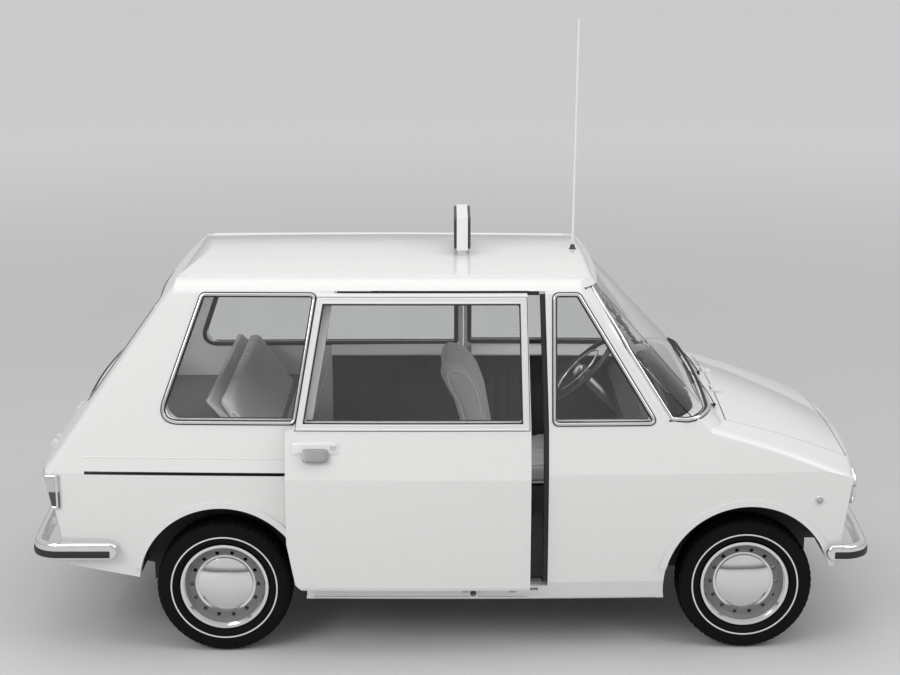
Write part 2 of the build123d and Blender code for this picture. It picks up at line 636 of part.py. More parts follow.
pieces["front_bulkhead"] = front_bulkhead.part
with BuildPart() as rear_bulkhead:
    add(block(REAR_WALL_X, REAR_WALL_X + 18, -640, 640, FLOOR_Z, SHELF_Z))
    add(block(-1500, REAR_WALL_X + 18, -650, 650, SHELF_Z, SHELF_Z + 14))
    add(inside, mode=Mode.INTERSECT)
    add(tub_blocks.part, mode=Mode.SUBTRACT)
    add(arch_voids.part, mode=Mode.SUBTRACT)
pieces["rear_bulkhead"] = rear_bulkhead.part
with BuildPart() as wheel_tubs:
    add(tub_blocks.part)
    add(arch_voids.part, mode=Mode.SUBTRACT)
    add(inside, mode=Mode.INTERSECT)
    add(block(-1700, 1700, -900, 900, 0, 240), mode=Mode.SUBTRACT)
    add(under_cuts, mode=Mode.SUBTRACT)
    add(rod((REAR_AXLE_X, -560, 265), (REAR_AXLE_X, 560, 265), 60), mode=Mode.SUBTRACT)
pieces["wheel_tubs"] = wheel_tubs.part

# Engine, gearbox and exhaust
with BuildPart() as engine:
    add(block(-1440, -1010, -225, 225, 235, 560))
    add(block(-1400, -1050, -130, 130, 560, 690))
    add(block(-1010, REAR_WALL_X - 8, -120, 120, 205, 400))
pieces["engine"] = engine.part
with BuildPart() as exhaust:
    add(rod((-1380, -260, 300), (-1380, 260, 300), 62))
    add(rod((-1380, 200, 262), (-1600, 200, 262), 17))
    add(engine.part, mode=Mode.SUBTRACT)
pieces["exhaust"] = exhaust.part

# Front suspension with kingpins, knuckles that steer, rear arms with stub axles
king = FRONT_TRACK / 2 - KINGPIN_INSET
with BuildPart() as front_suspension:
    add(block(FRONT_AXLE_X - 60, FRONT_AXLE_X + 60, -320, 320, 200, 352))
    add(block(FRONT_AXLE_X - 32, FRONT_AXLE_X + 32, -king - 20, king + 20, 160, 174))
    add(block(FRONT_AXLE_X - 60, FRONT_AXLE_X + 60, -90, 90, 174, 200))
    for side in (-1, 1):
        add(rod((FRONT_AXLE_X, side * king, 165), (FRONT_AXLE_X, side * king, 366), 12))
        low, high = sorted((side * 300, side * (king + 20)))
        add(block(FRONT_AXLE_X - 26, FRONT_AXLE_X + 26, low, high, 356, 370))
        low, high = sorted((side * 300, side * 340))
        add(block(FRONT_AXLE_X - 26, FRONT_AXLE_X + 26, low, high, 330, 370))
    add(floor_pan.part, mode=Mode.SUBTRACT)
    add(wheel_tubs.part, mode=Mode.SUBTRACT)
pieces["front_suspension"] = front_suspension.part
for name, x, y, side, wall in WHEELS[:2]:
    with BuildPart() as knuckle:
        add(rod((x, side * king, 182), (x, side * king, 348), 24))
        add(rod((x, side * king, TYRE_RADIUS), (x, y + side * 25, TYRE_RADIUS), STUB_RADIUS))
        add(rod((x, y - side * 42, TYRE_RADIUS), (x, y - side * 24, TYRE_RADIUS), 90))
        add(rod((x, side * king, 100), (x, side * king, 500), 12.06), mode=Mode.SUBTRACT)
    pieces["knuckle_" + name.split("_")[1]] = knuckle.part
with BuildPart() as rear_suspension:
    for side in (-1, 1):
        hub = side * REAR_TRACK / 2
        add(rod((REAR_AXLE_X, hub - side * 112, 265), (REAR_AXLE_X, hub + side * 25, 265), STUB_RADIUS))
        add(rod((REAR_AXLE_X, hub - side * 42, 265), (REAR_AXLE_X, hub - side * 24, 265), 90))
        add(rod((REAR_AXLE_X, hub - side * 176, 265), (REAR_AXLE_X, hub - side * 40, 265), 46))
        add(rod((REAR_AXLE_X, side * 110, 275), (REAR_AXLE_X, hub - side * 100, 268), 17))
        low, high = sorted((hub - side * 180, hub - side * 124))
        add(block(REAR_AXLE_X - 40, -560, low, high, 230, FLOOR_Z - FLOOR_SKIN))
    add(block(-600, -560, -486, 486, 238, FLOOR_Z - FLOOR_SKIN))
    add(engine.part, mode=Mode.SUBTRACT)
pieces["rear_suspension"] = rear_suspension.part

# Tyres and disc wheels with hub caps, profiles as (outboard, radius)
TYRE = [
    (50, RIM_RADIUS - 3),
    (50, RIM_RADIUS + 1),
    (60, RIM_RADIUS + 11),
    (TYRE_HALF, 214),
    (66, 238),
    (57, 258),
    (44, TYRE_RADIUS),
]
CAP_FACE = 42.0
CAP_RIM = 22.0
CAP_RADIUS = 106.0
DISC = [
    (CAP_RIM, CAP_RADIUS),
    (18, CAP_RADIUS + 3),
    (20, 118),
    (26, 140),
    (40, 152),
    (57, 160),
    (57, RIM_RADIUS),
    (50.4, RIM_RADIUS),
    (50.4, RIM_RADIUS - 3.3),
    (-50.4, RIM_RADIUS - 3.3),
    (-50.4, RIM_RADIUS),
    (-57, RIM_RADIUS),
    (-57, 158),
    (12, 150),
    (10, 120),
    (8, 60),
    (-18, 46),
    (-18, STUB_RADIUS + PIN_FIT),
    (26, STUB_RADIUS + PIN_FIT),
    (26, 0),
    (CAP_FACE, 0),
]
VENTS = 14
for name, x, y, side, wall in WHEELS:
    centre = Plane((x, y, TYRE_RADIUS), x_dir=(0, side, 0), z_dir=(side, 0, 0))
    axis = Axis((x, y, TYRE_RADIUS), (0, 1, 0))
    with BuildPart() as tyre:
        with BuildSketch(centre):
            with BuildLine():
                Polyline(*TYRE, *[(-u, r) for u, r in reversed(TYRE)], close=True)
            make_face()
        revolve(axis=axis)
    pieces["tyre_" + name] = tyre.part
    with BuildPart() as wheel:
        with BuildSketch(centre):
            with BuildLine():
                ThreePointArc((CAP_FACE, 0), (CAP_FACE - 4, CAP_RADIUS / 2), (CAP_RIM, CAP_RADIUS))
                Polyline(*DISC)
            make_face()
        revolve(axis=axis)
        with Locations(Plane((x, y, TYRE_RADIUS), x_dir=(1, 0, 0), z_dir=(0, 1, 0))):
            with PolarLocations(129, VENTS):
                Cylinder(8, 120, mode=Mode.SUBTRACT)
    pieces["wheel_" + name] = wheel.part

# Steering column and wheel, raked at 45 degrees
lean = Vector(-1, 0, 1).normalized()
hub = Vector(STEER_X, STEER_Y, STEER_Z)
foot = hub - lean * 405
with BuildPart() as steering_column:
    add(rod(tuple(foot), tuple(hub - lean * 40), 20))
    add(rod(tuple(hub - lean * 42), tuple(hub - lean * 2), 11))
    add(front_bulkhead.part, mode=Mode.SUBTRACT)
pieces["steering_column"] = steering_column.part
face = Plane(tuple(hub), x_dir=(0, 1, 0), z_dir=tuple(lean))
with BuildPart() as steering_wheel:
    with Locations(face):
        Torus(STEER_RADIUS, 11)
        with Locations((0, 0, -12)):
            Cylinder(36, 38)
        Box(2 * STEER_RADIUS, 24, 8)
    add(rod(tuple(hub - lean * 60), tuple(hub), 11.06), mode=Mode.SUBTRACT)
pieces["steering_wheel"] = steering_wheel.part

# Dashboard across the cabin
with BuildPart() as dashboard:
    add(side_prism([(850, 690), (850, 880), (760, 880), (700, 830), (715, 690)], 620, -620))
    add(inside, mode=Mode.INTERSECT)
    add(rod(tuple(foot), tuple(hub), 20 + FIT), mode=Mode.SUBTRACT)
pieces["dashboard"] = dashboard.part

# Seats: frames and cushions
with BuildPart() as driver_seat_frame:
    add(block(130, 560, 120, 540, FLOOR_Z, SEAT_Z))
    add(side_prism(SEAT_PLATE, 520, 140))
pieces["driver_seat_frame"] = driver_seat_frame.part
with BuildPart() as driver_seat_cushion:
    add(side_prism(SEAT_PAD, 560, 100, SEAT_ROUND))
    add(side_prism(SEAT_BACK, 550, 110, SEAT_ROUND))
    add(driver_seat_frame.part, mode=Mode.SUBTRACT)
pieces["driver_seat_cushion"] = driver_seat_cushion.part
with BuildPart() as rear_bench_base:
    add(block(REAR_WALL_X + 18, -270, -470, 470, FLOOR_Z, BENCH_Z))
    add(side_prism([(-700, 778), (-760, 778), (-940, 985), (-925, 985)], 560, -560))
    add(tub_blocks.part, mode=Mode.SUBTRACT)
pieces["rear_bench_base"] = rear_bench_base.part
with BuildPart() as rear_bench_cushion:
    add(side_prism(BENCH_PAD, 480, -480, SEAT_ROUND))
    add(side_prism(BENCH_BACK, 580, -580, BENCH_ROUND))
    add(rear_bench_base.part, mode=Mode.SUBTRACT)
    add(rear_bulkhead.part, mode=Mode.SUBTRACT)
    add(tub_blocks.part, mode=Mode.SUBTRACT)
pieces["rear_bench_cushion"] = rear_bench_cushion.part

# Roof sign and aerial
with BuildPart() as roof_sign:
    add(block(SIGN_X - 22, SIGN_X + 22, -165, 165, 1500, SIGN_TOP))
    for y in (-110, 110):
        add(block(SIGN_X - 16, SIGN_X + 16, y - 20, y + 20, 1460, 1500))
    add(outer, mode=Mode.SUBTRACT)
pieces["roof_sign"] = roof_sign.part
with BuildPart() as aerial:
    add(rod((AERIAL_X, 0, 1440), (AERIAL_X, 0, 1490), 14))
    add(rod((AERIAL_X, 0, 1485), (AERIAL_X + 12, 0, AERIAL_TOP), 3))
    add(outer, mode=Mode.SUBTRACT)
pieces["aerial"] = aerial.part

# One file per node
for name, piece in pieces.items():
    piece.label = name
    export_step(piece, f"parts/{name}.step")
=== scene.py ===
import bpy
import bmesh
import numpy as np
from mathutils.bvhtree import BVHTree
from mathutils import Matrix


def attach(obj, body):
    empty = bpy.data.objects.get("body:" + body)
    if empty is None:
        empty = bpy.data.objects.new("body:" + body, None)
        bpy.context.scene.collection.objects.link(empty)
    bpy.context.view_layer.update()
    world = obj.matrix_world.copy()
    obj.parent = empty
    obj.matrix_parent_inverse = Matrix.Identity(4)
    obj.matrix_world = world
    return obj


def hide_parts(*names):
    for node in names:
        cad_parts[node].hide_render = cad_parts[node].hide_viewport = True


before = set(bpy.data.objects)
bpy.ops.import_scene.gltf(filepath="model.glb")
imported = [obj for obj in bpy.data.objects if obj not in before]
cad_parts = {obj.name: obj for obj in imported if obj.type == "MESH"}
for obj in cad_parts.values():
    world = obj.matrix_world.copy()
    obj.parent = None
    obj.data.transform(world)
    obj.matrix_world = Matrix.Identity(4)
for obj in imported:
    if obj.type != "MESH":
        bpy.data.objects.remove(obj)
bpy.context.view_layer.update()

# Studio: a pale paper floor under broad soft lamps, seen from the car's right side
# with the camera a little higher than the roof, as the photograph was taken.
FLOOR_REACH = 400.0
FLOOR_PAINTED_LIGHT_FADE = (2.0, 16.0)
SKY_RISE = (0.0, 0.20)
SKY_STRENGTH = 0.70
CAMERA_PLACE = (0.0, -7.41, 2.882)
CAMERA_PITCH = 13.5
CAMERA_LENS, SENSOR_WIDTH = 73.76, 36.0
# Each lamp has a place, a point that it aims at, a width and depth, and a power in watts.
LAMPS = [
    ("overhead_lamp", (0.0, -0.5, 5.5), (0.0, 0.0, 0.0), (7.0, 5.0), 90.0),
    ("key_lamp", (-4.5, -5.5, 4.6), (0.0, 0.0, 0.7), (4.0, 3.0), 172.0),
    ("fill_lamp", (5.0, -3.0, 5.0), (1.0, 0.0, 0.8), (4.0, 3.0), 95.0),
]


def grey(level):
    """A neutral colour: the same share of red, green and blue."""
    return level, level, level


def new_material(name, colour, rough, metal=0.0):
    """A material with one shader; colour, roughness and metal are set on its own sockets."""
    made = bpy.data.materials.new(name)
    made.use_nodes = True
    shader = made.node_tree.nodes["Principled BSDF"]
    shader.inputs["Base Color"].default_value = (*colour, 1.0)
    shader.inputs["Roughness"].default_value = rough
    shader.inputs["Metallic"].default_value = metal
    return made, made.node_tree.nodes, made.node_tree.links, shader


def two_tones(nodes, links, first, second, share):
    """A colour that goes from the first tone to the second as a share goes from nought to one."""
    tone = nodes.new("ShaderNodeMix")
    tone.data_type = "RGBA"
    tone.inputs["A"].default_value = (*first, 1.0)
    tone.inputs["B"].default_value = (*second, 1.0)
    links.new(share, tone.inputs["Factor"])
    return tone


def risen(nodes, links, value, limits, easing="SMOOTHSTEP"):
    """Share of the way, nought to one, that a value has come between two limits."""
    share = nodes.new("ShaderNodeMapRange")
    share.interpolation_type = easing
    share.inputs["From Min"].default_value, share.inputs["From Max"].default_value = limits
    links.new(value, share.inputs["Value"])
    return share.outputs["Result"]


def bumped(nodes, links, shader, value, height):
    """Bump on a shader: the surface seems raised by a value times a height in metres."""
    bump = nodes.new("ShaderNodeBump")
    bump.inputs["Strength"].default_value = 0.6
    bump.inputs["Distance"].default_value = height
    links.new(value, bump.inputs["Height"])
    links.new(bump.outputs["Normal"], shader.inputs["Normal"])


def grained(nodes, links, shader, scale, height, light=None, dark=None):
    """Noise on object coordinates, its scale in turns a metre, as bump and, with two tones, as colour."""
    place = nodes.new("ShaderNodeTexCoord")
    noise = nodes.new("ShaderNodeTexNoise")
    noise.inputs["Scale"].default_value = scale
    links.new(place.outputs["Object"], noise.inputs["Vector"])
    bumped(nodes, links, shader, noise.outputs["Fac"], height)
    if light:
        tone = two_tones(nodes, links, dark, light, noise.outputs["Fac"])
        links.new(tone.outputs["Result"], shader.inputs["Base Color"])
    return noise


def mesh_piece(name, points, faces, material, sharp=35.0):
    """An object at the origin from points and faces, normals outward, smooth but for edges over an angle."""
    mesh = bpy.data.meshes.new(name)
    mesh.from_pydata(np.asarray(points).reshape(-1, 3).tolist(), [], faces)
    work = bmesh.new()
    work.from_mesh(mesh)
    bmesh.ops.remove_doubles(work, verts=work.verts, dist=1e-6)
    bmesh.ops.recalc_face_normals(work, faces=work.faces)
    work.to_mesh(mesh)
    work.free()
    mesh.polygons.foreach_set("use_smooth", np.ones(len(mesh.polygons), dtype=bool))
    mesh.set_sharp_from_angle(angle=np.radians(sharp))
    mesh.materials.append(material)
    piece = bpy.data.objects.new(name, mesh)
    bpy.context.collection.objects.link(piece)
    return piece


floor_paper, nodes, links, shader = new_material("floor_paper", grey(0.60), 0.85)
grained(nodes, links, shader, 40.0, 0.0003)
place = nodes.new("ShaderNodeTexCoord")
reach = nodes.new("ShaderNodeVectorMath")
reach.operation = "LENGTH"
links.new(place.outputs["Object"], reach.inputs[0])
# Painted light: the paper is darker near the car and lighter far off, standing in for how the studio light
# falls on the floor.
fade = risen(nodes, links, reach.outputs["Value"], FLOOR_PAINTED_LIGHT_FADE)
tone = two_tones(nodes, links, grey(0.60), grey(0.95), fade)
links.new(tone.outputs["Result"], shader.inputs["Base Color"])
corners = FLOOR_REACH * np.array([[-1, -1, 0], [1, -1, 0], [1, 1, 0], [-1, 1, 0]])
mesh_piece("studio_floor", corners, [(0, 1, 2, 3)], floor_paper)
world = bpy.data.worlds.new("studio")
bpy.context.scene.world = world
world.use_nodes = True
nodes, links = world.node_tree.nodes, world.node_tree.links
direction = nodes.new("ShaderNodeTexCoord")
parts = nodes.new("ShaderNodeSeparateXYZ")
ray = nodes.new("ShaderNodeLightPath")
links.new(direction.outputs["Generated"], parts.inputs["Vector"])
height = risen(nodes, links, parts.outputs["Z"], SKY_RISE)
sky = two_tones(nodes, links, grey(0.14), grey(0.90), height)
backdrop = two_tones(nodes, links, grey(0.14), grey(0.80), ray.outputs["Is Camera Ray"])
links.new(sky.outputs["Result"], backdrop.inputs["A"])
links.new(backdrop.outputs["Result"], nodes["Background"].inputs["Color"])
nodes["Background"].inputs["Strength"].default_value = SKY_STRENGTH
for name, place, target, size, power in LAMPS:
    lamp = bpy.data.lights.new(name, "AREA")
    lamp.shape = "RECTANGLE"
    lamp.size, lamp.size_y = size
    lamp.energy = power
    holder = bpy.data.objects.new(name, lamp)
    bpy.context.collection.objects.link(holder)
    aim = np.array(target) - np.array(place)
    tilt = np.arctan2(np.hypot(aim[0], aim[1]), -aim[2])
    holder.location = place
    holder.rotation_euler = (tilt, 0.0, np.arctan2(aim[1], aim[0]) - np.pi / 2)
camera_data = bpy.data.cameras.new("photo_camera")
camera_data.lens = CAMERA_LENS
camera_data.sensor_width = SENSOR_WIDTH
camera = bpy.data.objects.new("photo_camera", camera_data)
bpy.context.collection.objects.link(camera)
camera.location = CAMERA_PLACE
camera.rotation_euler = (np.radians(90.0 - CAMERA_PITCH), 0.0, 0.0)
bpy.context.scene.camera = camera
bpy.context.scene.view_settings.view_transform = "Standard"

# Body panels: pressed steel, welded, then stoved in off-white enamel with a deep gloss.
# The enamel's flow leaves a faint ripple; inside the door rail's slot the walls are painted near black as
# painted shade of the deep slot.
RAIL_SLOT_X = (-1.3965, -0.5395)
RAIL_SLOT_Y = (-0.725, -0.60)
RAIL_SLOT_Z = (0.7309, 0.7431)
SLOT_SHADE_BLACK = grey(0.012)
PAINTED = [
    "roof", "nose_panel", "tail_panel", "scuttle", "front_quarter_right", "front_quarter_left",
    "rear_quarter_right", "rear_quarter_left", "sills", "bonnet", "engine_lid", "sliding_door", "driver_door",
]


def dress(names, material):
    """Gives CAD nodes one material in place of their own."""
    for name in names:
        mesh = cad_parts[name].data
        mesh.materials.clear()
        mesh.materials.append(material)


def both(nodes, links, first, second):
    """Product of two values: one only where both are one."""
    product = nodes.new("ShaderNodeMath")
    product.operation = "MULTIPLY"
    links.new(first, product.inputs[0])
    links.new(second, product.inputs[1])
    return product.outputs["Value"]


def between(nodes, links, value, low, high):
    """One where a value lies between two limits, nought elsewhere."""
    above = nodes.new("ShaderNodeMath")
    above.operation = "GREATER_THAN"
    above.inputs[1].default_value = low
    below = nodes.new("ShaderNodeMath")
    below.operation = "LESS_THAN"
    below.inputs[1].default_value = high
    links.new(value, above.inputs[0])
    links.new(value, below.inputs[0])
    return both(nodes, links, above.outputs["Value"], below.outputs["Value"])


enamel, nodes, links, shader = new_material("white_enamel", (0.80, 0.80, 0.79), 0.30)
shader.inputs["Coat Weight"].default_value = 0.6
shader.inputs["Coat Roughness"].default_value = 0.05
noise = grained(nodes, links, shader, 60.0, 0.00004)
place = nodes.new("ShaderNodeTexCoord")
parts = nodes.new("ShaderNodeSeparateXYZ")
links.new(place.outputs["Object"], parts.inputs["Vector"])
along = between(nodes, links, parts.outputs["X"], *RAIL_SLOT_X)
across = between(nodes, links, parts.outputs["Y"], *RAIL_SLOT_Y)
level = between(nodes, links, parts.outputs["Z"], *RAIL_SLOT_Z)
in_slot_shade = both(nodes, links, both(nodes, links, along, level), across)
shade = two_tones(nodes, links, (0.75, 0.75, 0.74), (0.79, 0.79, 0.78), noise.outputs["Fac"])
# Painted shade: inside the rail slot the enamel turns near black, for the shade in the deep slot.
slot = two_tones(nodes, links, SLOT_SHADE_BLACK, SLOT_SHADE_BLACK, in_slot_shade)
links.new(shade.outputs["Result"], slot.inputs["A"])
links.new(slot.outputs["Result"], shader.inputs["Base Color"])
dress(PAINTED, enamel)

# Roof mouldings: a fine raised bead pressed along each shoulder of the roof, painted with the body.
# It stiffens the roof edge and leads rain to the ends.
SIDES = ((-1, "right"), (1, "left"))
CLEAR = 2.0
MOULDING_Y = 0.4555
MOULDING_ENDS = (-1.02, 0.49)


def body_tree(names):
    """Search tree of the named CAD nodes, to lay trim on them."""
    points, faces = [], []
    for name in names:
        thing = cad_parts[name]
        place = np.array(thing.matrix_world)
        own = np.empty(3 * len(thing.data.vertices))
        thing.data.vertices.foreach_get("co", own)
        own = own.reshape(-1, 3) @ place[:3, :3].T + place[:3, 3]
        faces += [[len(points) + k for k in p.vertices] for p in thing.data.polygons]
        points += own.tolist()
    return BVHTree.FromPolygons(points, faces)


def lay_on(tree, starts, aims):
    """Where lines from the starts along the aims first meet a tree: points, and normals facing the starts."""
    aims = np.broadcast_to(np.asarray(aims, dtype=float), np.shape(starts))
    hits = [tree.ray_cast(start, aim) for start, aim in zip(starts.tolist(), aims.tolist())]
    points = np.array([hit[0] for hit in hits])
    normals = np.array([hit[1] for hit in hits])
    return points, normals * -np.sign(np.sum(normals * aims, axis=1))[:, None]


def ring_faces(rows, columns, closed=False, caps=(True, True)):
    """Faces of a grid whose rows are closed rings: quads from row to row, then the end rings as caps."""
    at = np.arange(rows * columns).reshape(rows, columns)
    start = at if closed else at[:-1]
    end = np.roll(at, -1, 0) if closed else at[1:]
    quads = np.stack([start, np.roll(start, -1, 1), np.roll(end, -1, 1), end], -1).reshape(-1, 4).tolist()
    return quads if closed else quads + [at[0].tolist()] * caps[0] + [at[-1, ::-1].tolist()] * caps[1]


def tube(name, grid, material, closed=False, sharp=35.0):
    """A surface through rows of points, each row a ring; the rows close on the first one or end in caps."""
    return mesh_piece(name, grid, ring_faces(*grid.shape[:2], closed), material, sharp)


def swept(name, path, out, profile, material, closed=False):
    """A profile carried along a path, each point so far across and so far out, and mitred at corners."""
    ahead = np.roll(path, -1, 0) - path
    if not closed:
        ahead[-1] = ahead[-2]
    ahead /= np.linalg.norm(ahead, axis=1)[:, None]
    behind = np.roll(ahead, 1, 0)
    if not closed:
        behind[0] = ahead[0]
    step = (ahead + behind) / np.linalg.norm(ahead + behind, axis=1)[:, None]
    across = np.cross(out, step)
    across /= np.linalg.norm(across, axis=1)[:, None]
    rise = np.cross(step, across)
    across /= np.sum(step * ahead, axis=1)[:, None]
    profile = np.asarray(profile)
    grid = path[:, None] + profile[None, :, :1] * across[:, None] + profile[None, :, 1:] * rise[:, None]
    return tube(name, grid, material, closed)


def bead(width, height, sink=0.002):
    """Profile of a half-round strip of a width and height, its foot sunk below the face that it lies on."""
    turn = np.linspace(0.0, np.pi, 9)
    arch = np.stack([0.5 * width * np.cos(turn), height * np.sin(turn) ** 0.7], -1)
    return np.vstack([[0.5 * width, -sink], arch, [-0.5 * width, -sink]])


def smoothed(normals, closed=False, rounds=6):
    """Normals averaged along a path with their neighbours."""
    for _ in range(rounds):
        if closed:
            normals = normals + np.roll(normals, 1, 0) + np.roll(normals, -1, 0)
        else:
            normals = np.vstack([normals[:1], normals[:-2] + normals[1:-1] + normals[2:], normals[-1:]])
        normals = normals / np.linalg.norm(normals, axis=1)[:, None]
    return normals


def carry(piece, body):
    """Ties a piece to the body that carries it."""
    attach(piece, body)


roof_tree = body_tree(["roof"])
for side, hand in SIDES:
    x = np.linspace(*MOULDING_ENDS, 90)
    starts = np.stack([x, np.full(90, side * MOULDING_Y), np.full(90, CLEAR)], -1)
    path, out = lay_on(roof_tree, starts, (0, 0, -1))
    moulding = swept(f"roof_moulding_{hand}", path, smoothed(out), bead(0.012, 0.004), enamel)
    carry(moulding, "shell")

# Underbody: wheel tubs and suspension under dark sealer, sprayed thick, so that it is coarse to the eye.
# The engine and gearbox are cast alloy; knuckles, exhaust, door carriers and steering column are plain steel.


def grained_finish(name, colour, rough, scale, height, light, dark, metal=0.0):
    """A material of two tones mixed by the grain that also bumps it."""
    made, nodes, links, shader = new_material(name, colour, rough, metal)
    grained(nodes, links, shader, scale, height, light, dark)
    return made


sealer = grained_finish("underbody_sealer", grey(0.05), 0.7, 140.0, 0.002, grey(0.06), grey(0.025))
dress(["wheel_tubs", "front_suspension", "rear_suspension"], sealer)
cast_alloy = grained_finish("cast_alloy", grey(0.35), 0.55, 260.0, 0.001, grey(0.42), grey(0.28), 1.0)
dress(["engine"], cast_alloy)
plain_steel = grained_finish("plain_steel", grey(0.42), 0.38, 300.0, 0.0004, grey(0.48), grey(0.34), 1.0)
dress(["knuckle_left", "knuckle_right", "exhaust", "sliding_door_carriers", "steering_column"], plain_steel)

# Cabin lining: floor mat, front bulkhead board, dashboard and driver's seat frame in dark grained sheet.
# Glued over card and steel.
lining = grained_finish("dark_lining", grey(0.06), 0.65, 420.0, 0.0008, grey(0.075), grey(0.04))
dress(["floor_pan", "front_bulkhead", "dashboard", "driver_seat_frame"], lining)

# Glass: toughened panes, flat or gently bowed, set in rubber.
# Very slight waves show in the reflections, and light falls through to the seats.
pane, nodes, links, shader = new_material("clear_pane", (0.93, 0.94, 0.94), 0.0)
shader.inputs["Transmission Weight"].default_value = 1.0
shader.inputs["IOR"].default_value = 1.45
grained(nodes, links, shader, 3.0, 0.00005)
passing = nodes.new("ShaderNodeBsdfTransparent")
ray = nodes.new("ShaderNodeLightPath")
either = nodes.new("ShaderNodeMixShader")
links.new(ray.outputs["Is Shadow Ray"], either.inputs["Fac"])
links.new(shader.outputs["BSDF"], either.inputs[1])
links.new(passing.outputs["BSDF"], either.inputs[2])
links.new(either.outputs["Shader"], nodes["Material Output"].inputs["Surface"])
dress(["windscreen", "rear_window", "side_glass", "sliding_door_glass", "driver_door_glass"], pane)

# Fixed side windows: panes in black rubber channel, outside and inside, with a bright bead let into it.
# The rubber grips panel and pane; the bead is rolled stainless strip, pressed into the rubber outside.
QUARTER = [(-1.108, 0.934), (-0.600, 0.934), (-0.522, 1.396), (-0.940, 1.396)]
QUARTER_ROUNDS = (0.062, 0.018, 0.018, 0.018)
FIXED_WINDOWS = [
    ("front_right", [(0.404, 0.930), (0.776, 0.930), (0.486, 1.396), (0.404, 1.396)], 0.018, -1),
    ("quarter_right", QUARTER, QUARTER_ROUNDS, -1),
    ("quarter_left", QUARTER, QUARTER_ROUNDS, 1),
    ("middle_left", [(-0.560, 0.934), (0.022, 0.934), (0.022, 1.396), (-0.482, 1.396)], 0.018, 1),
]
RUBBER_GROW = 0.006
BEAD_LIFT = 0.0025
BESIDE = 1.2


def rounded_outline(corners, radius, grow, spacing=0.010):
    """A polygon moved out by a distance, each corner turned by a parabola in place of an arc of a radius."""
    corners = np.asarray(corners, dtype=float)
    nexts = np.roll(corners, -1, 0)
    hand = np.sign(np.sum(corners[:, 0] * nexts[:, 1] - nexts[:, 0] * corners[:, 1]))
    along = (nexts - corners) / np.linalg.norm(nexts - corners, axis=1)[:, None]
    outward = hand * np.stack([along[:, 1], -along[:, 0]], -1)
    before = np.roll(along, 1, 0)
    bisector = outward + np.roll(outward, 1, 0)
    moved = corners + grow * bisector / np.sum(bisector * outward, axis=1)[:, None]
    half = 0.5 * np.arccos(np.clip(np.sum(before * along, axis=1), -1, 1))
    back = (np.broadcast_to(radius, half.shape) * np.tan(half))[:, None]
    start, end = moved - back * before, moved + back * along
    runs = []
    for k in range(len(moved)):
        t = np.linspace(0, 1, 13 if back[k] > 0 else 1)[:, None]
        runs.append((1 - t) ** 2 * start[k] + 2 * t * (1 - t) * moved[k] + t**2 * end[k])
        reach = start[(k + 1) % len(moved)] - end[k]
        pieces = max(2, int(np.linalg.norm(reach) / spacing))
        runs.append(end[k] + np.linspace(0, 1, pieces + 1)[1:-1, None] * reach)
    return np.vstack(runs)


def on_side(tree, x, z, side, inside=False):
    """Points and normals where level lines across the car meet a side's outer or inner face, at x and z."""
    x, y, z = np.broadcast_arrays(x, 0.0 if inside else side * BESIDE, z)
    return lay_on(tree, np.stack(np.atleast_1d(x, y, z), -1), (0, side if inside else -side, 0))


def side_loop(tree, corners, radius, grow, side, inside=False):
    """A rounded outline in side view, laid on a side's outer or inner face: points and smoothed normals."""
    points, out = on_side(tree, *rounded_outline(corners, radius, grow).T, side, inside)
    return points, smoothed(out, closed=True)


INNER_RUBBER = bead(0.018, 0.005, 0.008)
gasket_rubber = grained_finish("gasket_rubber", grey(0.015), 0.5, 350.0, 0.0003, grey(0.02), grey(0.01))
chrome = grained_finish("bright_metal", grey(0.80), 0.10, 40.0, 0.00003, grey(0.84), grey(0.76), 1.0)
quarters = [f"{end}_quarter_{hand}" for end in ("front", "rear") for hand in ("right", "left")]
sides_tree = body_tree([*quarters, "roof", "scuttle"])
for name, corners, radius, side in FIXED_WINDOWS:
    path, out = side_loop(sides_tree, corners, radius, RUBBER_GROW, side)
    rubber = swept(f"window_rubber_{name}", path, out, bead(0.020, 0.004, 0.012), gasket_rubber, True)
    bright = swept(f"window_bead_{name}", path + BEAD_LIFT * out, out, bead(0.011, 0.0045), chrome, True)
    carry(rubber, "shell")
    carry(bright, "shell")
    path, out = side_loop(sides_tree, corners, radius, RUBBER_GROW, side, inside=True)
    inner = swept(f"window_inner_rubber_{name}", path, out, INNER_RUBBER, gasket_rubber, True)
    carry(inner, "shell")

# Door window frames: wide bright frames of folded strip with a shallow channel, over a thin black strip whose
# edges show past the frame as a painted shadow line.
# A rubber lip holds the glass, outside and inside. Each frame is screwed to its door and moves with it;
# the sliding door stands out and back from its opening.
DOOR_BACK = 0.065
RIGHT_DOOR_WINDOW = np.array([(0.340, 0.942), (0.330, 1.380), (-0.415, 1.380), (-0.490, 0.942)])
LEFT_DOOR_WINDOW = np.array([(0.092, 0.942), (0.748, 0.942), (0.468, 1.380), (0.092, 1.380)])
CHANNEL = 0.001 * np.array(
    [(12, -2), (12, 3.5), (10, 5), (6.5, 5), (5, 3.8), (-5, 3.8), (-6.5, 5), (-10, 5), (-12, 3.5), (-12, -2)]
)
FRAME_GROW, LIP_GROW = 0.013, 0.001
LIP_ROUND = 0.014
satin_alloy = grained_finish("satin_alloy", grey(0.86), 0.34, 300.0, 0.00008, grey(0.88), grey(0.82), 0.45)
DOOR_WINDOWS = [
    ("sliding_door", RIGHT_DOOR_WINDOW - (DOOR_BACK, 0), -1),
    ("driver_door", LEFT_DOOR_WINDOW, 1),
]
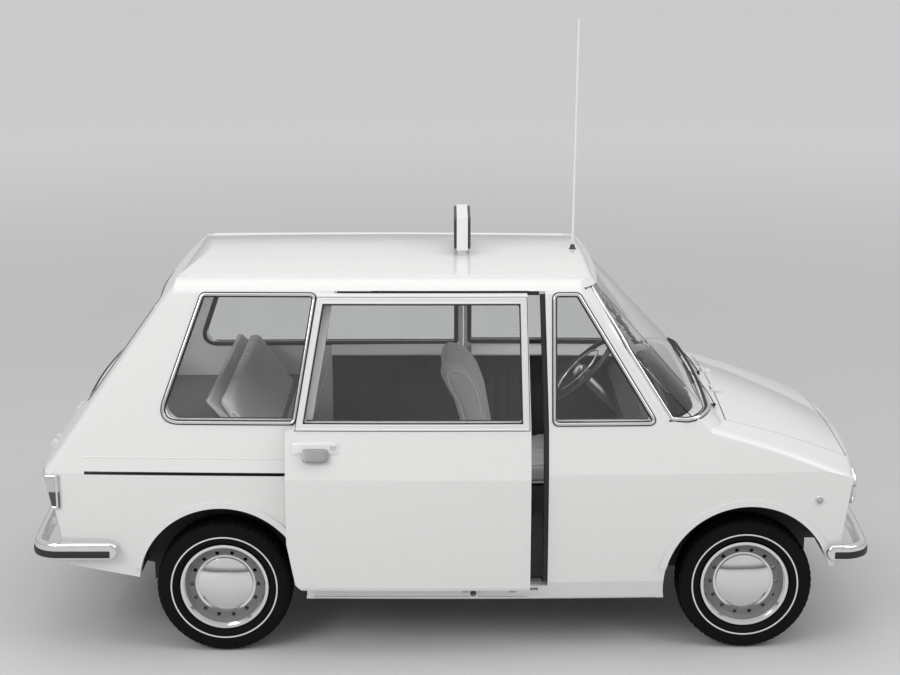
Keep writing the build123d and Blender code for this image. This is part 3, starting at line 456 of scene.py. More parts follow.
for door, corners, side in DOOR_WINDOWS:
    tree = body_tree([door])
    path, out = side_loop(tree, corners, 0.0, FRAME_GROW, side)
    carry(swept(f"{door}_window_frame", path, out, CHANNEL, satin_alloy, True), door)
    # Painted shadow: a black strip under the frame, showing past its edges as the shadow line round it.
    carry(swept(f"{door}_window_edge_shadow", path, out, bead(0.0295, 0.0022), gasket_rubber, True), door)
    path, out = side_loop(tree, corners, LIP_ROUND, LIP_GROW, side)
    lip = swept(f"{door}_window_rubber", path, out, bead(0.010, 0.003, 0.012), gasket_rubber, True)
    carry(lip, door)
    path, out = side_loop(tree, corners, LIP_ROUND, RUBBER_GROW, side, inside=True)
    carry(swept(f"{door}_inner_rubber", path, out, INNER_RUBBER, gasket_rubber, True), door)

# Windscreen pillars and surround: painted covers carry each pillar's face forward over the glass edge.
# A bright bead in black rubber runs down one cover, round the glass foot and up the other.
# The brow above the glass has rubber alone, tucked under the roof's edge.
PILLAR_BACK = ((0.509, 1.414), (0.822, 0.930))
PILLAR_FRONT = ((0.5405, 1.412), (0.846, 0.937))
COVER_FOOT, COVER_BACK = 0.002, 0.001
COVER_MIDDLE, COVER_FRONT, COVER_LIP = 0.0065, 0.009, 0.001
BEAD_SEAT = 0.007
FOOT_HUB_X = 0.40
SCREEN_FOOT_Z = 0.947
SCREEN_FOOT_DROP = 0.023
SCREEN_EDGE = ((0.838, 1.000), (0.928, 0.956))
EDGE_LAP = 0.003
BROW_HUB_X, BROW_TURN, BROW_Z = 0.25, 0.95, 1.414
AHEAD = 1.6


def round_the_front(tree, hub_x, angle, level):
    """Points on the body at a height above the floor, from lines that turn about an upright in the cabin."""
    away = np.stack([np.cos(angle), np.sin(angle), 0 * angle], -1)
    starts = np.array([hub_x, 0, 0]) + AHEAD * away
    starts[:, 2] = level
    return lay_on(tree, starts, -away)


screen_tree = body_tree(["windscreen"])
pillars = []
for side, hand in SIDES:
    back, back_out = on_side(sides_tree, *np.linspace(*PILLAR_BACK, 50).T, side)
    front, front_out = on_side(screen_tree, *np.linspace(*PILLAR_FRONT, 50).T, side)
    front_out = smoothed(front_out)
    middle = 0.5 * (back + front) + COVER_MIDDLE * front_out
    rear_edge = [back - COVER_FOOT * back_out, back + COVER_BACK * back_out]
    ring = [*rear_edge, middle, front + COVER_FRONT * front_out, front - COVER_LIP * front_out]
    carry(tube(f"windscreen_pillar_{hand}", np.stack(ring, 1), enamel), "shell")
    pillars.append((front + BEAD_SEAT * front_out, front_out))
turn = np.linspace(-1.0, 1.0, 70)[2:-2]
edge = np.arctan2(-pillars[0][0][-1, 1], PILLAR_FRONT[1][0] - FOOT_HUB_X)
foot, _ = round_the_front(sides_tree, FOOT_HUB_X, edge * turn, SCREEN_FOOT_Z - SCREEN_FOOT_DROP * turn**8)
level = np.interp(foot[:, 0], *SCREEN_EDGE) - EDGE_LAP
foot, foot_out = round_the_front(sides_tree, FOOT_HUB_X, edge * turn, level)
path = np.vstack([pillars[0][0], foot, pillars[1][0][::-1]])
out = smoothed(np.vstack([pillars[0][1], foot_out, pillars[1][1][::-1]]))
carry(swept("windscreen_rubber", path, out, bead(0.022, 0.004, 0.012), gasket_rubber), "shell")
bright = swept("windscreen_bead", path + BEAD_LIFT * out, out, bead(0.013, 0.005), chrome)
carry(bright, "shell")
path, out = round_the_front(screen_tree, BROW_HUB_X, BROW_TURN * turn, BROW_Z)
brow = swept("windscreen_brow_rubber", path, smoothed(out), bead(0.014, 0.004), gasket_rubber)
carry(brow, "shell")

# Rear window surround: black rubber, nearly flush with the tail, with a thin bright bead let into it.
# The rubber grips panel and pane.
REAR_WINDOW = [(-0.455, 0.965), (0.455, 0.965), (0.405, 1.355), (-0.405, 1.355)]
REAR_ROUND, REAR_GROW = 0.045, 0.007
REAR_BEAD_LIFT = 0.001
BEHIND = -3.0
flat = rounded_outline(REAR_WINDOW, REAR_ROUND, REAR_GROW)
starts = np.stack([np.full(len(flat), BEHIND), flat[:, 0], flat[:, 1]], -1)
path, out = lay_on(body_tree(["tail_panel"]), starts, (1, 0, 0))
out = smoothed(out, closed=True)
rubber = swept("rear_window_rubber", path, out, bead(0.024, 0.002, 0.012), gasket_rubber, True)
carry(rubber, "shell")
bright = swept("rear_window_bead", path + REAR_BEAD_LIFT * out, out, bead(0.012, 0.003), chrome, True)
carry(bright, "shell")

# Sill strips: bright rolled strip along the lower edge of the body between the wheels.
# Clipped to the sill flange.
SILL_STRIP_X = (-0.525, 0.795)
SILL_STRIP_Z = 0.229
for side, hand in SIDES:
    path, out = on_side(body_tree(["sills"]), np.linspace(*SILL_STRIP_X, 60), SILL_STRIP_Z, side)
    strip = swept(f"sill_strip_{hand}", path, smoothed(out), bead(0.012, 0.005), chrome)
    carry(strip, "shell")

# Bumpers: chromed blades; a black strip along the lower half is a painted reflection of the dark floor.
# The strip wraps the corners and stops short of the blade ends.
# Each blade has the way it faces, its tip, the end of its arms, its half width and its lower edge.
BUMPERS = [
    ("bumper_front", 1, 1.645, 1.452, 0.706, 0.382),
    ("bumper_rear", -1, -1.632, -1.274, 0.738, 0.397),
]
DARK_BAND_CORNER = (0.14, 0.105)
DARK_BAND_SHORT = 0.030
DARK_BAND_RISE = 0.027
BEYOND = 0.6
dress(["bumper_front", "bumper_rear", "driver_door_fittings", "aerial"], chrome)
for name, sign, tip, root, half, low in BUMPERS:
    corner_x, corner_y = tip - sign * DARK_BAND_CORNER[0], half - DARK_BAND_CORNER[1]
    t = np.linspace(0, 1, 24)
    x = root + sign * DARK_BAND_SHORT + t * (corner_x - root - sign * DARK_BAND_SHORT)
    run = np.stack([x, np.full(24, corner_y)], -1)
    turn = np.linspace(0, np.pi / 2, 24)[1:-1]
    ahead = np.stack([np.full(40, corner_x), np.linspace(corner_y, 0, 40)], -1)
    hubs = np.vstack([run, np.tile([corner_x, corner_y], (22, 1)), ahead])
    sweep = np.stack([sign * np.sin(turn), np.cos(turn)], -1)
    aims = np.vstack([np.tile([0, 1], (24, 1)), sweep, np.tile([sign, 0], (40, 1))])
    hubs = np.vstack([hubs, hubs[-2::-1] * (1, -1)])
    aims = np.vstack([aims, aims[-2::-1] * (1, -1)])
    outward = np.hstack([aims, np.zeros((len(aims), 1))])
    starts = np.hstack([hubs, np.full((len(hubs), 1), low + DARK_BAND_RISE)]) + BEYOND * outward
    path, _ = lay_on(body_tree([name]), starts, -outward)
    # Painted reflection: the black strip stands for the dark floor mirrored in the lower half of the chrome.
    strip = swept(f"{name}_rubber", path, smoothed(outward), bead(0.028, 0.004), gasket_rubber)
    carry(strip, "shell")

# Tyres: moulded black rubber with a ribbed tread, cross cuts, and a thin white line on the outer wall.
# Pressed on the rim beads; the white line is a coloured ply laid in the mould.
# Each tyre has its axle's length and side in the car, and the way its outer wall faces.
TYRES = [
    ("front_left", 1.150, 0.573, 1), ("front_right", 1.150, -0.573, -1),
    ("rear_left", -0.877, 0.606, 1), ("rear_right", -0.877, -0.606, -1),
]
AXLE_Z = 0.265
TYRE_MID = 0.218
TYRE_RISE = 0.047
TYRE_HALF = 0.068
TREAD_FOOT, TREAD_EASE = 0.039, 0.003
GROOVES, GROOVE_WIDTH, GROOVE_DEPTH = (-0.026, 0.0, 0.029), 0.0022, 0.006
ZIGZAG = 0.003
CROSS_CUTS, CUT_FROM, CUT_SHARE = 60, 0.030, 0.42
LINE_RADIUS, LINE_HALF = 0.205, 0.0028
OUTER_WALL = (0.02, 1.0)


def wheel_material(name, x, y, side):
    """Shader nodes that give a point's distance from a wheel's axle and how far it lies outboard."""
    made, nodes, links, shader = new_material(name, (0.02, 0.02, 0.02), 0.55)
    place = nodes.new("ShaderNodeTexCoord")
    shift = nodes.new("ShaderNodeVectorMath")
    shift.operation = "SUBTRACT"
    shift.inputs[1].default_value = (x, y, AXLE_Z)
    parts = nodes.new("ShaderNodeSeparateXYZ")
    flat = nodes.new("ShaderNodeCombineXYZ")
    reach = nodes.new("ShaderNodeVectorMath")
    reach.operation = "LENGTH"
    outboard = nodes.new("ShaderNodeMath")
    outboard.operation = "MULTIPLY"
    outboard.inputs[1].default_value = side
    links.new(place.outputs["Object"], shift.inputs[0])
    links.new(shift.outputs["Vector"], parts.inputs["Vector"])
    links.new(parts.outputs["X"], flat.inputs["X"])
    links.new(parts.outputs["Z"], flat.inputs["Z"])
    links.new(flat.outputs["Vector"], reach.inputs[0])
    links.new(parts.outputs["Y"], outboard.inputs[0])
    return made, nodes, links, shader, reach.outputs["Value"], outboard.outputs["Value"]


def tyre_surface(x, y):
    """A ring whose section is a fourth-power oval; grooves part the tread in ribs, with even cross cuts."""
    section = np.pi * np.linspace(-0.5, 1.5, 97)[:-1]
    turn = np.linspace(0.0, 2 * np.pi, 241)[:-1]
    s, t = np.meshgrid(section, turn, indexing="ij")
    across = TYRE_HALF * np.sign(np.cos(s)) * np.abs(np.cos(s)) ** 0.5
    rise = TYRE_RISE * np.sign(np.sin(s)) * np.abs(np.sin(s)) ** 0.5
    tread = np.clip((rise - TREAD_FOOT) / TREAD_EASE, 0, 1)
    from_block = np.abs((t * CROSS_CUTS / (2 * np.pi)) % 1 - 0.5)
    zigzag = ZIGZAG * from_block * 2
    groove = sum(np.exp(-(((across - at + zigzag) / GROOVE_WIDTH) ** 2)) for at in GROOVES)
    cut = (from_block > CUT_SHARE) * (np.abs(across) > CUT_FROM)
    radius = TYRE_MID + rise - GROOVE_DEPTH * tread * np.clip(groove + cut, 0, 1)
    return np.stack([x + radius * np.sin(t), y + across, AXLE_Z + radius * np.cos(t)], -1)


for name, x, y, side in TYRES:
    rubber, nodes, links, shader, reach, outboard = wheel_material(f"tyre_rubber_{name}", x, y, side)
    shader.inputs["Roughness"].default_value = 0.75
    shader.inputs["Specular IOR Level"].default_value = 0.1
    grained(nodes, links, shader, 220.0, 0.0006)
    line = between(nodes, links, reach, LINE_RADIUS - LINE_HALF, LINE_RADIUS + LINE_HALF)
    outer = between(nodes, links, outboard, *OUTER_WALL)
    tone = two_tones(nodes, links, grey(0.006), (0.72, 0.72, 0.70), both(nodes, links, line, outer))
    links.new(tone.outputs["Result"], shader.inputs["Base Color"])
    tyre = tube(f"tread_tyre_{name}", tyre_surface(x, y), rubber, closed=True, sharp=50.0)
    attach(tyre, f"wheel_{name}")
    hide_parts(f"tyre_{name}")

# Wheels: pressed steel discs with bright rims and sprung chrome hub caps.
# The hub cap's dome and flange, and the rim's flange, are polished; the dished ring between is painted dark
# grey: silver-grey enamel with painted shade of its recess.
CAP_REACH = (-1.0, 0.1175)
RIM_REACH = (0.154, 1.0)
PAINT_ROUGH, POLISH_ROUGH = 0.35, 0.10
for name, x, y, side in TYRES:
    disc, nodes, links, shader, reach, _ = wheel_material(f"disc_wheel_{name}", x, y, side)
    grained(nodes, links, shader, 70.0, 0.00005)
    bright = nodes.new("ShaderNodeMath")
    bright.operation = "ADD"
    links.new(between(nodes, links, reach, *CAP_REACH), bright.inputs[0])
    links.new(between(nodes, links, reach, *RIM_REACH), bright.inputs[1])
    # Painted shade: the dark grey of the dished ring is the enamel's own grey with the shade of its recess
    # painted in.
    tone = two_tones(nodes, links, grey(0.16), grey(0.82), bright.outputs["Value"])
    polish = nodes.new("ShaderNodeMapRange")
    polish.inputs["To Min"].default_value = PAINT_ROUGH
    polish.inputs["To Max"].default_value = POLISH_ROUGH
    links.new(bright.outputs["Value"], polish.inputs["Value"])
    links.new(bright.outputs["Value"], shader.inputs["Metallic"])
    links.new(polish.outputs["Result"], shader.inputs["Roughness"])
    links.new(tone.outputs["Result"], shader.inputs["Base Color"])
    dress([f"wheel_{name}"], disc)

# Lamps: fluted glass over silvered bowls, front flashers below the headlamps, tail lamps round the corners.
# The lenses are moulded; the tail lamps' lower part is the dark stop lens.
LAMP_Y = 0.470
LAMP_Z = 0.624
RIM_X = 1.577
RIM_RADIUS = 0.0755
TAIL_HUB = (-1.43, 0.50)
TAIL_TURN = (20.5, 57.5)
TAIL_LOW, TAIL_HIGH = 0.601, 0.725
HEAD_SPLIT, TAIL_SPLIT = (0.544, 0.546), (0.660, 0.664)
FLUTES = 45.0


def lens_material(name, light, dark, split):
    """Fluted lens whose colour goes over from dark to light between two heights."""
    made, nodes, links, shader = new_material(name, light, 0.12)
    shader.inputs["Coat Weight"].default_value = 0.8
    place = nodes.new("ShaderNodeTexCoord")
    flutes = nodes.new("ShaderNodeTexWave")
    flutes.bands_direction = "Y"
    flutes.inputs["Scale"].default_value = FLUTES
    parts = nodes.new("ShaderNodeSeparateXYZ")
    links.new(place.outputs["Object"], flutes.inputs["Vector"])
    bumped(nodes, links, shader, flutes.outputs["Fac"], 0.002)
    links.new(place.outputs["Object"], parts.inputs["Vector"])
    tone = two_tones(nodes, links, dark, light, risen(nodes, links, parts.outputs["Z"], split, "LINEAR"))
    links.new(tone.outputs["Result"], shader.inputs["Base Color"])
    return made


dress(["front_lamps"], lens_material("head_lens", grey(0.66), grey(0.34), HEAD_SPLIT))
dress(["tail_lamps"], lens_material("tail_lens", grey(0.50), grey(0.045), TAIL_SPLIT))
for side, hand in SIDES:
    turn = np.linspace(0, 2 * np.pi, 73)[:-1]
    y, z = side * LAMP_Y + RIM_RADIUS * np.cos(turn), LAMP_Z + RIM_RADIUS * np.sin(turn)
    ring = np.stack([np.full(72, RIM_X), y, z], -1)
    forward = np.tile([1.0, 0, 0], (72, 1))
    rim = swept(f"headlamp_rim_{hand}", ring, forward, bead(0.009, 0.010, 0.004), chrome, True)
    carry(rim, "shell")
    low, high = np.radians(TAIL_TURN)
    turn = np.concatenate(
        [np.linspace(low, high, 24), np.full(16, high), np.linspace(high, low, 24), np.full(16, low)]
    )
    down, up = np.linspace(TAIL_HIGH, TAIL_LOW, 18)[1:-1], np.linspace(TAIL_LOW, TAIL_HIGH, 18)[1:-1]
    level = np.concatenate([np.full(24, TAIL_HIGH), down, np.full(24, TAIL_LOW), up])
    away = np.stack([-np.sin(turn), side * np.cos(turn), np.zeros(80)], -1)
    starts = np.array([TAIL_HUB[0], side * TAIL_HUB[1], 0]) + BEYOND * away + level[:, None] * (0, 0, 1)
    path, _ = lay_on(body_tree(["tail_lamps"]), starts, -away)
    strip = swept(f"tail_lamp_frame_{hand}", path, smoothed(away, True), bead(0.009, 0.005), chrome, True)
    carry(strip, "shell")

# Side repeaters: small round lamps, a domed lens in a bright turned base, one on each front wing.
# Screwed through the wing.
REPEATER = (1.419, 0.621)
BASE_TURNING = 0.001 * np.array([(0, -2), (17, -2), (17, 2), (15, 5), (12, 5.5), (11, 4), (0, 4)])
LENS_TURNING = 0.001 * np.array([(0, 3), (10.5, 3), (10.5, 6), (9, 9), (5.5, 11.5), (0, 12.5)])


def turned(name, centre, axis, turning, material, steps=48):
    """A turning: each profile point gives a ring about the axis, so far out and so far along it."""
    axis = np.asarray(axis, dtype=float) / np.linalg.norm(axis)
    side = np.cross(axis, (0.0, 0.0, 1.0) if abs(axis[2]) < 0.9 else (1.0, 0.0, 0.0))
    side /= np.linalg.norm(side)
    other = np.cross(axis, side)
    turn = np.linspace(0, 2 * np.pi, steps + 1)[:-1]
    around = np.cos(turn)[:, None] * side + np.sin(turn)[:, None] * other
    grid = np.asarray(centre) + turning[:, None, :1] * around + turning[:, None, 1:] * axis
    return mesh_piece(name, grid, ring_faces(len(turning), steps, caps=(False, False)), material, 30.0)


flasher_lens = lens_material("flasher_lens", grey(0.40), grey(0.36), (0.60, 0.64))
for side, hand in SIDES:
    point, out = on_side(body_tree([f"front_quarter_{hand}"]), *REPEATER, side)
    carry(turned(f"repeater_base_{hand}", point[0], out[0], BASE_TURNING, chrome), "shell")
    carry(turned(f"repeater_lens_{hand}", point[0], out[0], LENS_TURNING, flasher_lens), "shell")

# Sliding door handle: a bright pressed plate, a cast paddle that swings out from under it, and a round lock.
# Screwed to the door skin from inside.
PLATE_X, PLATE_Z = (-0.595, -0.422), (0.833, 0.875)
PADDLE_X, PADDLE_Z = (-0.557, -0.459), (0.806, 0.853)
LOCK = (-0.441, 0.856)
LOCK_TURNING = 0.001 * np.array([(0, 0), (10, 0), (10, 8), (8.5, 9.5), (3, 9.5), (2.4, 8), (0, 8)])
door_tree = body_tree(["sliding_door"])


def crowned_plate(name, span_x, span_z, height, lean, power, material, inner=0.0):
    """A plate on the sliding door: its edge is an oval of a high power, and its face rises to a height."""
    rim = np.linspace(0, 2 * np.pi, 97)[:-1]
    share = np.concatenate([[1.0, 1.0], np.linspace(0.98, 0.0, 14)])
    out_share = np.concatenate([[0.0, 0.7], 1 - 0.3 * np.linspace(0.98, 0.0, 14) ** 6])
    cosine, sine = np.cos(rim), np.sin(rim)
    oval = (np.abs(cosine) ** power + np.abs(sine) ** power) ** (-1 / power)
    x = np.mean(span_x) + 0.5 * np.ptp(span_x) * share[:, None] * oval * cosine
    z = np.mean(span_z) + 0.5 * np.ptp(span_z) * share[:, None] * oval * sine
    middle, out = on_side(door_tree, np.mean(span_x), np.mean(span_z), -1)
    slope = -out[0][2] / out[0][1]
    y = middle[0][1] + (z - np.mean(span_z)) * (slope + lean) - inner - height * out_share[:, None]
    return mesh_piece(name, np.stack([x, y, z], -1), ring_faces(*x.shape, caps=(True, False)), material, 50.0)


handle_plate = crowned_plate("door_handle_plate", PLATE_X, PLATE_Z, 0.007, 0.0, 9.0, satin_alloy)
handle_paddle = crowned_plate("door_handle_paddle", PADDLE_X, PADDLE_Z, 0.012, 0.20, 6.0, cast_alloy, 0.010)
point, out = on_side(door_tree, *LOCK, -1)
carry(turned("door_handle_lock", point[0], out[0], LOCK_TURNING, chrome, 32), "sliding_door")
carry(handle_plate, "sliding_door")
carry(handle_paddle, "sliding_door")
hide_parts("sliding_door_handle")

# Rail cover seam: the raised upper edge of the pressing that covers the door rail on the right rear quarter.
# Painted with the body.
SEAM_X = (-1.40, -0.555)
SEAM_Z = 0.796
path, out = on_side(sides_tree, np.linspace(*SEAM_X, 60), SEAM_Z, -1)
carry(swept("rail_cover_seam", path, smoothed(out), bead(0.005, 0.0016), enamel), "shell")

# Sliding door opening: black hollow rubber seals down the front edge and along the header, and a tread plate.
# The seals are pushed on the flange; the plate is pressed steel, ribbed, screwed to the sill.
SEAL_Z = (0.30, 1.402)
SEAL_LINE = ((0.30, 0.915, 1.40), (0.367, 0.367, 0.352))
SEAL_INSET = 0.014
HEADER_X, HEADER_Z = (0.340, -0.430), 1.408
SEAL_PROFILE = 0.001 * np.array([(10, -3), (10, 3), (7, 7), (-7, 7), (-10, 3), (-10, -3)])
TREAD_X, TREAD_Y, TREAD_Z = (-0.49, 0.355), -0.655, 0.288
TREAD_HALF, TREAD_FLANGE = 0.026, -0.004
STATION_X, STATION_IN = (-1.75, -0.55, 0.42, 1.75), (-0.040, 0.0, 0.0, -0.075)
GUTTER_Y, GUTTER_RISE = 0.548, 0.670
CREASE_Y, CREASE_Z = 0.715, 0.735
SILL_Y, SILL_Z, SILL_LEAN, SILL_RISE = 0.702, 0.300, 0.013, 0.435


def side_skin(x, z):
    """Half width of the body at a length and height: its sill, crease and gutter lines joined straight."""
    narrower = np.interp(x, STATION_X, STATION_IN)
    lean = GUTTER_Y + 0.8 * narrower - CREASE_Y - narrower
    upper = (CREASE_Y + narrower) + lean * (z - CREASE_Z) / GUTTER_RISE
    return np.where(z > CREASE_Z, upper, SILL_Y + narrower + SILL_LEAN * (z - SILL_Z) / SILL_RISE)


z = np.linspace(*SEAL_Z, 90)
x = np.interp(z, *SEAL_LINE)
path = np.stack([x, -side_skin(x, z) + SEAL_INSET, z], -1)
outward = np.tile([0.0, -1, 0], (90, 1))
carry(swept("door_seal_front", path, outward, SEAL_PROFILE, gasket_rubber), "shell")
x, z = np.linspace(*HEADER_X, 70), np.full(70, HEADER_Z)
path = np.stack([x, -side_skin(x, z) + SEAL_INSET, z], -1)
carry(swept("door_seal_header", path, outward[:70], SEAL_PROFILE, gasket_rubber), "shell")
ribs = 0.003 + 0.0012 * np.abs(np.sin(np.linspace(0, 6 * np.pi, 49)))
ribs = np.stack([np.linspace(-TREAD_HALF, TREAD_HALF, 49), ribs], -1)
tread = np.vstack([[(-TREAD_HALF, TREAD_FLANGE)], ribs, [(TREAD_HALF, TREAD_FLANGE)]])
path = np.stack([np.linspace(*TREAD_X, 30), np.full(30, TREAD_Y), np.full(30, TREAD_Z)], -1)
plate = swept("tread_plate", path, np.tile([0.0, 0, 1], (30, 1)), tread, plain_steel)
carry(plate, "shell")

# Wipers: two dark arms on splined pivots through the scuttle, each with a rubber blade low on the glass.
# Pressed steel, painted black.
WIPERS = [("right", -0.40, (-0.24, 0.04)), ("left", 0.06, (0.20, 0.48))]
BLADE_Z = (0.974, 0.984)
PIVOT_X = 1.036
ARM_SEAT, ARM_LIFT, ARM_BOW = 0.010, 0.0075, 0.008
BLADE = 0.001 * np.array([(-1.5, 0), (-0.7, 2), (-2.5, 4), (-2.5, 7), (2.5, 7), (2.5, 4), (0.7, 2), (1.5, 0)])
ARM = 0.001 * np.array([(-2.5, -1.5), (-2.5, 1.5), (2.5, 1.5), (2.5, -1.5)])
PIVOT_TURNING = 0.001 * np.array([(0, -4), (11, -4), (11, 2), (7, 5), (7, 12), (5, 14), (0, 14)])
black_enamel = grained_finish("black_enamel", grey(0.02), 0.4, 160.0, 0.0003, grey(0.028), grey(0.015))
scuttle_tree = body_tree(["scuttle"])
for name, pivot_y, reach in WIPERS:
    starts = np.stack([np.full(40, CLEAR), np.linspace(*reach, 40), np.linspace(*BLADE_Z, 40)], -1)
    path, out = lay_on(screen_tree, starts, (-1, 0, 0))
    out = smoothed(out)
    carry(swept(f"wiper_blade_{name}", path, out, BLADE, gasket_rubber), "shell")
    (pivot,), (pivot_out,) = lay_on(scuttle_tree, np.array([[PIVOT_X, pivot_y, CLEAR]]), (0, 0, -1))
    boss = turned(f"wiper_pivot_{name}", pivot, pivot_out, PIVOT_TURNING, black_enamel, 24)
    carry(boss, "shell")
    t = np.linspace(0, 1, 30)[:, None]
    lift = (1 - t) * pivot_out + t * out[20]
    arm = (1 - t) * (pivot + ARM_SEAT * pivot_out) + t * (path[20] + ARM_LIFT * out[20])
    arm = arm + ARM_BOW * np.sin(np.pi * t) * lift
    carry(swept(f"wiper_arm_{name}", arm, lift, ARM, black_enamel), "shell")

# Roof sign: a blank white box moulding between two dark rounded frames, lit from inside on the real car.
# The frames are moulded and clip on the front and back faces.
SIGN_X, SIGN_HALF = 0.049, 0.022
SIGN_CORNERS = [(-0.156, 1.510), (0.156, 1.510), (0.156, 1.623), (-0.156, 1.623)]
SIGN_ROUND = 0.022
FRAME = 0.001 * np.array([(-8, -1), (-8, 9), (-5, 11), (5, 11), (8, 9), (8, -1)])
opal = grained_finish(
    "opal_plastic", (0.85, 0.85, 0.84), 0.35, 120.0, 0.0002, (0.86, 0.86, 0.85), (0.80, 0.80, 0.79)
)
dress(["roof_sign"], opal)
dark_plastic = grained_finish("dark_plastic", grey(0.035), 0.45, 500.0, 0.0004, grey(0.05), grey(0.025))
flat = rounded_outline(SIGN_CORNERS, SIGN_ROUND, 0.0)
for name, sign in (("front", 1), ("back", -1)):
    path = np.stack([np.full(len(flat), SIGN_X + SIGN_HALF * sign), flat[:, 0], flat[:, 1]], -1)
    out = np.tile([float(sign), 0, 0], (len(flat), 1))
    carry(swept(f"sign_frame_{name}", path, out, FRAME, dark_plastic, True), "shell")

# Aerial: a pale glass-fibre whip, tapering, in a small turned base on the roof.
# The whip screws into the base.
AERIAL_FOOT = (0.500, 0.0, 1.474)
AERIAL_LEAN = (0.0131, 0.0, 1.0)
WHIP_TURNING = 0.001 * np.array(
    [(0, 10), (5.6, 10), (5.6, 30), (5.0, 350), (3.8, 920), (3.0, 931), (0, 932.5)]
)
AERIAL_BASE = 0.001 * np.array([(0, -8), (15, -8), (15, 2), (12, 6), (9, 16), (6.5, 22), (0, 22)])
pale_whip = grained_finish(
    "pale_whip", (0.78, 0.78, 0.76), 0.35, 90.0, 0.0002, (0.82, 0.82, 0.80), (0.72, 0.72, 0.70)
)
whip = turned("aerial_whip", AERIAL_FOOT, AERIAL_LEAN, WHIP_TURNING, pale_whip, 20)
carry(whip, "shell")
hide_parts("aerial")
carry(turned("aerial_base", AERIAL_FOOT, (0, 0, 1), AERIAL_BASE, dark_plastic, 32), "shell")

# Steering wheel: a thin dark rim and spokes, moulded over steel, with a chromed horn ring and boss.
# The horn ring is bent rod, pressed into the spokes.
STEER_HUB = np.array([0.560, 0.300, 0.880])
STEER_AXIS = np.array([-1.0, 0.0, 1.0]) / np.sqrt(2)
HORN_LIFT, HORN_RADIUS = 0.012, 0.118
BOSS_TURNING = 0.001 * np.array([(0, 4), (30, 4), (30, 10), (24, 18), (10, 22), (0, 23)])
dress(["steering_wheel"], dark_plastic)
turn = np.linspace(0, 2 * np.pi, 73)[:-1, None]
across = np.cross(STEER_AXIS, (0, 1.0, 0))
ring = STEER_HUB + HORN_LIFT * STEER_AXIS + HORN_RADIUS * (np.cos(turn) * (0, 1.0, 0) + np.sin(turn) * across)
horn = swept("horn_ring", ring, np.tile(STEER_AXIS, (72, 1)), bead(0.007, 0.004, 0.003), chrome, True)
carry(horn, "steering_wheel")
carry(turned("horn_boss", STEER_HUB, STEER_AXIS, BOSS_TURNING, chrome), "steering_wheel")

# Trim panels: padded dark sheet over board, with sewn flutes, inside the doors and the left quarter.
# Clipped to the inner skin below the painted waist ledge.
trim_sheet = grained_finish("trim_sheet", grey(0.055), 0.6, 500.0, 0.0006, grey(0.07), grey(0.04))
# Each panel has its body, its side, its ends, how far its door stands out, and its thickness.
TRIMS = [
    ("quarter_trim_left", "shell", 1, (-0.53, 0.045), 0.0, 0.008),
    ("driver_door_trim", "driver_door", 1, (0.085, 0.765), 0.0, 0.008),
    ("sliding_door_trim", "sliding_door", -1, (-0.58, 0.285), 0.062, 0.0026),
]
TRIM_Z = (0.345, 0.872)
TRIM_WALL, TRIM_BACK, TRIM_EDGE = 0.046, 0.0006, 0.03
TRIM_FLUTES = 12


def trim_panel(name, side, span, stand, thick):
    """A panel along the inner skin, crowned between upright sewn flutes, its edge closed by a back sheet."""
    x, z = np.meshgrid(np.linspace(*span, 120), np.linspace(*TRIM_Z, 60), indexing="ij")
    inner = side * (side_skin(x, z) - TRIM_WALL + stand)
    fade = np.clip(np.minimum(z - TRIM_Z[0], TRIM_Z[1] - z) / TRIM_EDGE, 0, 1) ** 0.5
    flute = np.abs(np.sin(np.pi * (x - span[0]) / (span[1] - span[0]) * TRIM_FLUTES)) ** 0.5
    face = np.stack([x, inner - side * thick * (0.25 + 0.75 * fade * (0.4 + 0.6 * flute)), z], -1)
    back = np.stack([x, inner - side * TRIM_BACK, z], -1)
    at = np.arange(x.size).reshape(x.shape)
    quads = np.stack([at[:-1, :-1], at[1:, :-1], at[1:, 1:], at[:-1, 1:]], -1).reshape(-1, 4)
    rim = np.concatenate([at[:-1, 0], at[-1, :-1], at[:0:-1, -1], at[0, :0:-1]])
    skirt = np.stack([rim, np.roll(rim, -1), np.roll(rim, -1) + x.size, rim + x.size], -1)
    faces = np.vstack([quads, quads[:, ::-1] + x.size, skirt]).tolist()
    return mesh_piece(name, np.stack([face, back]), faces, trim_sheet, 60.0)


for name, body, side, span, stand, thick in TRIMS:
    carry(trim_panel(name, side, span, stand, thick), body)

# Waist ledges: painted steel cappings under the left windows, leaning into the cabin above the trim.
# Screwed to the inner skin; the driver's door carries its own.
LEDGES = [
    ("quarter_ledge_left", "shell", (-0.53, 0.045)),
    ("driver_door_ledge", "driver_door", (0.095, 0.74)),
]
LEDGE_Z, LEDGE_INSET = 0.904, 0.047
LEDGE = 0.001 * np.array([(-24, -2), (-24, 42), (-19, 48), (-15, 48), (21, 6), (23, 3), (23, -2)])
for name, body, span in LEDGES:
    x, z = np.linspace(*span, 40), np.full(40, LEDGE_Z)
    path = np.stack([x, side_skin(x, z) - LEDGE_INSET, z], -1)
    carry(swept(name, path, np.tile([0.0, -1, 0], (40, 1)), LEDGE, enamel), body)

# Rear shelf carpet: coarse grey loop pile on the bulkhead and shelf behind the bench.
# Woven on a backing, cut to shape and glued down.
shelf_carpet = grained_finish("shelf_carpet", grey(0.17), 0.95, 120.0, 0.004, grey(0.24), grey(0.10))
dress(["rear_bulkhead"], shelf_carpet)

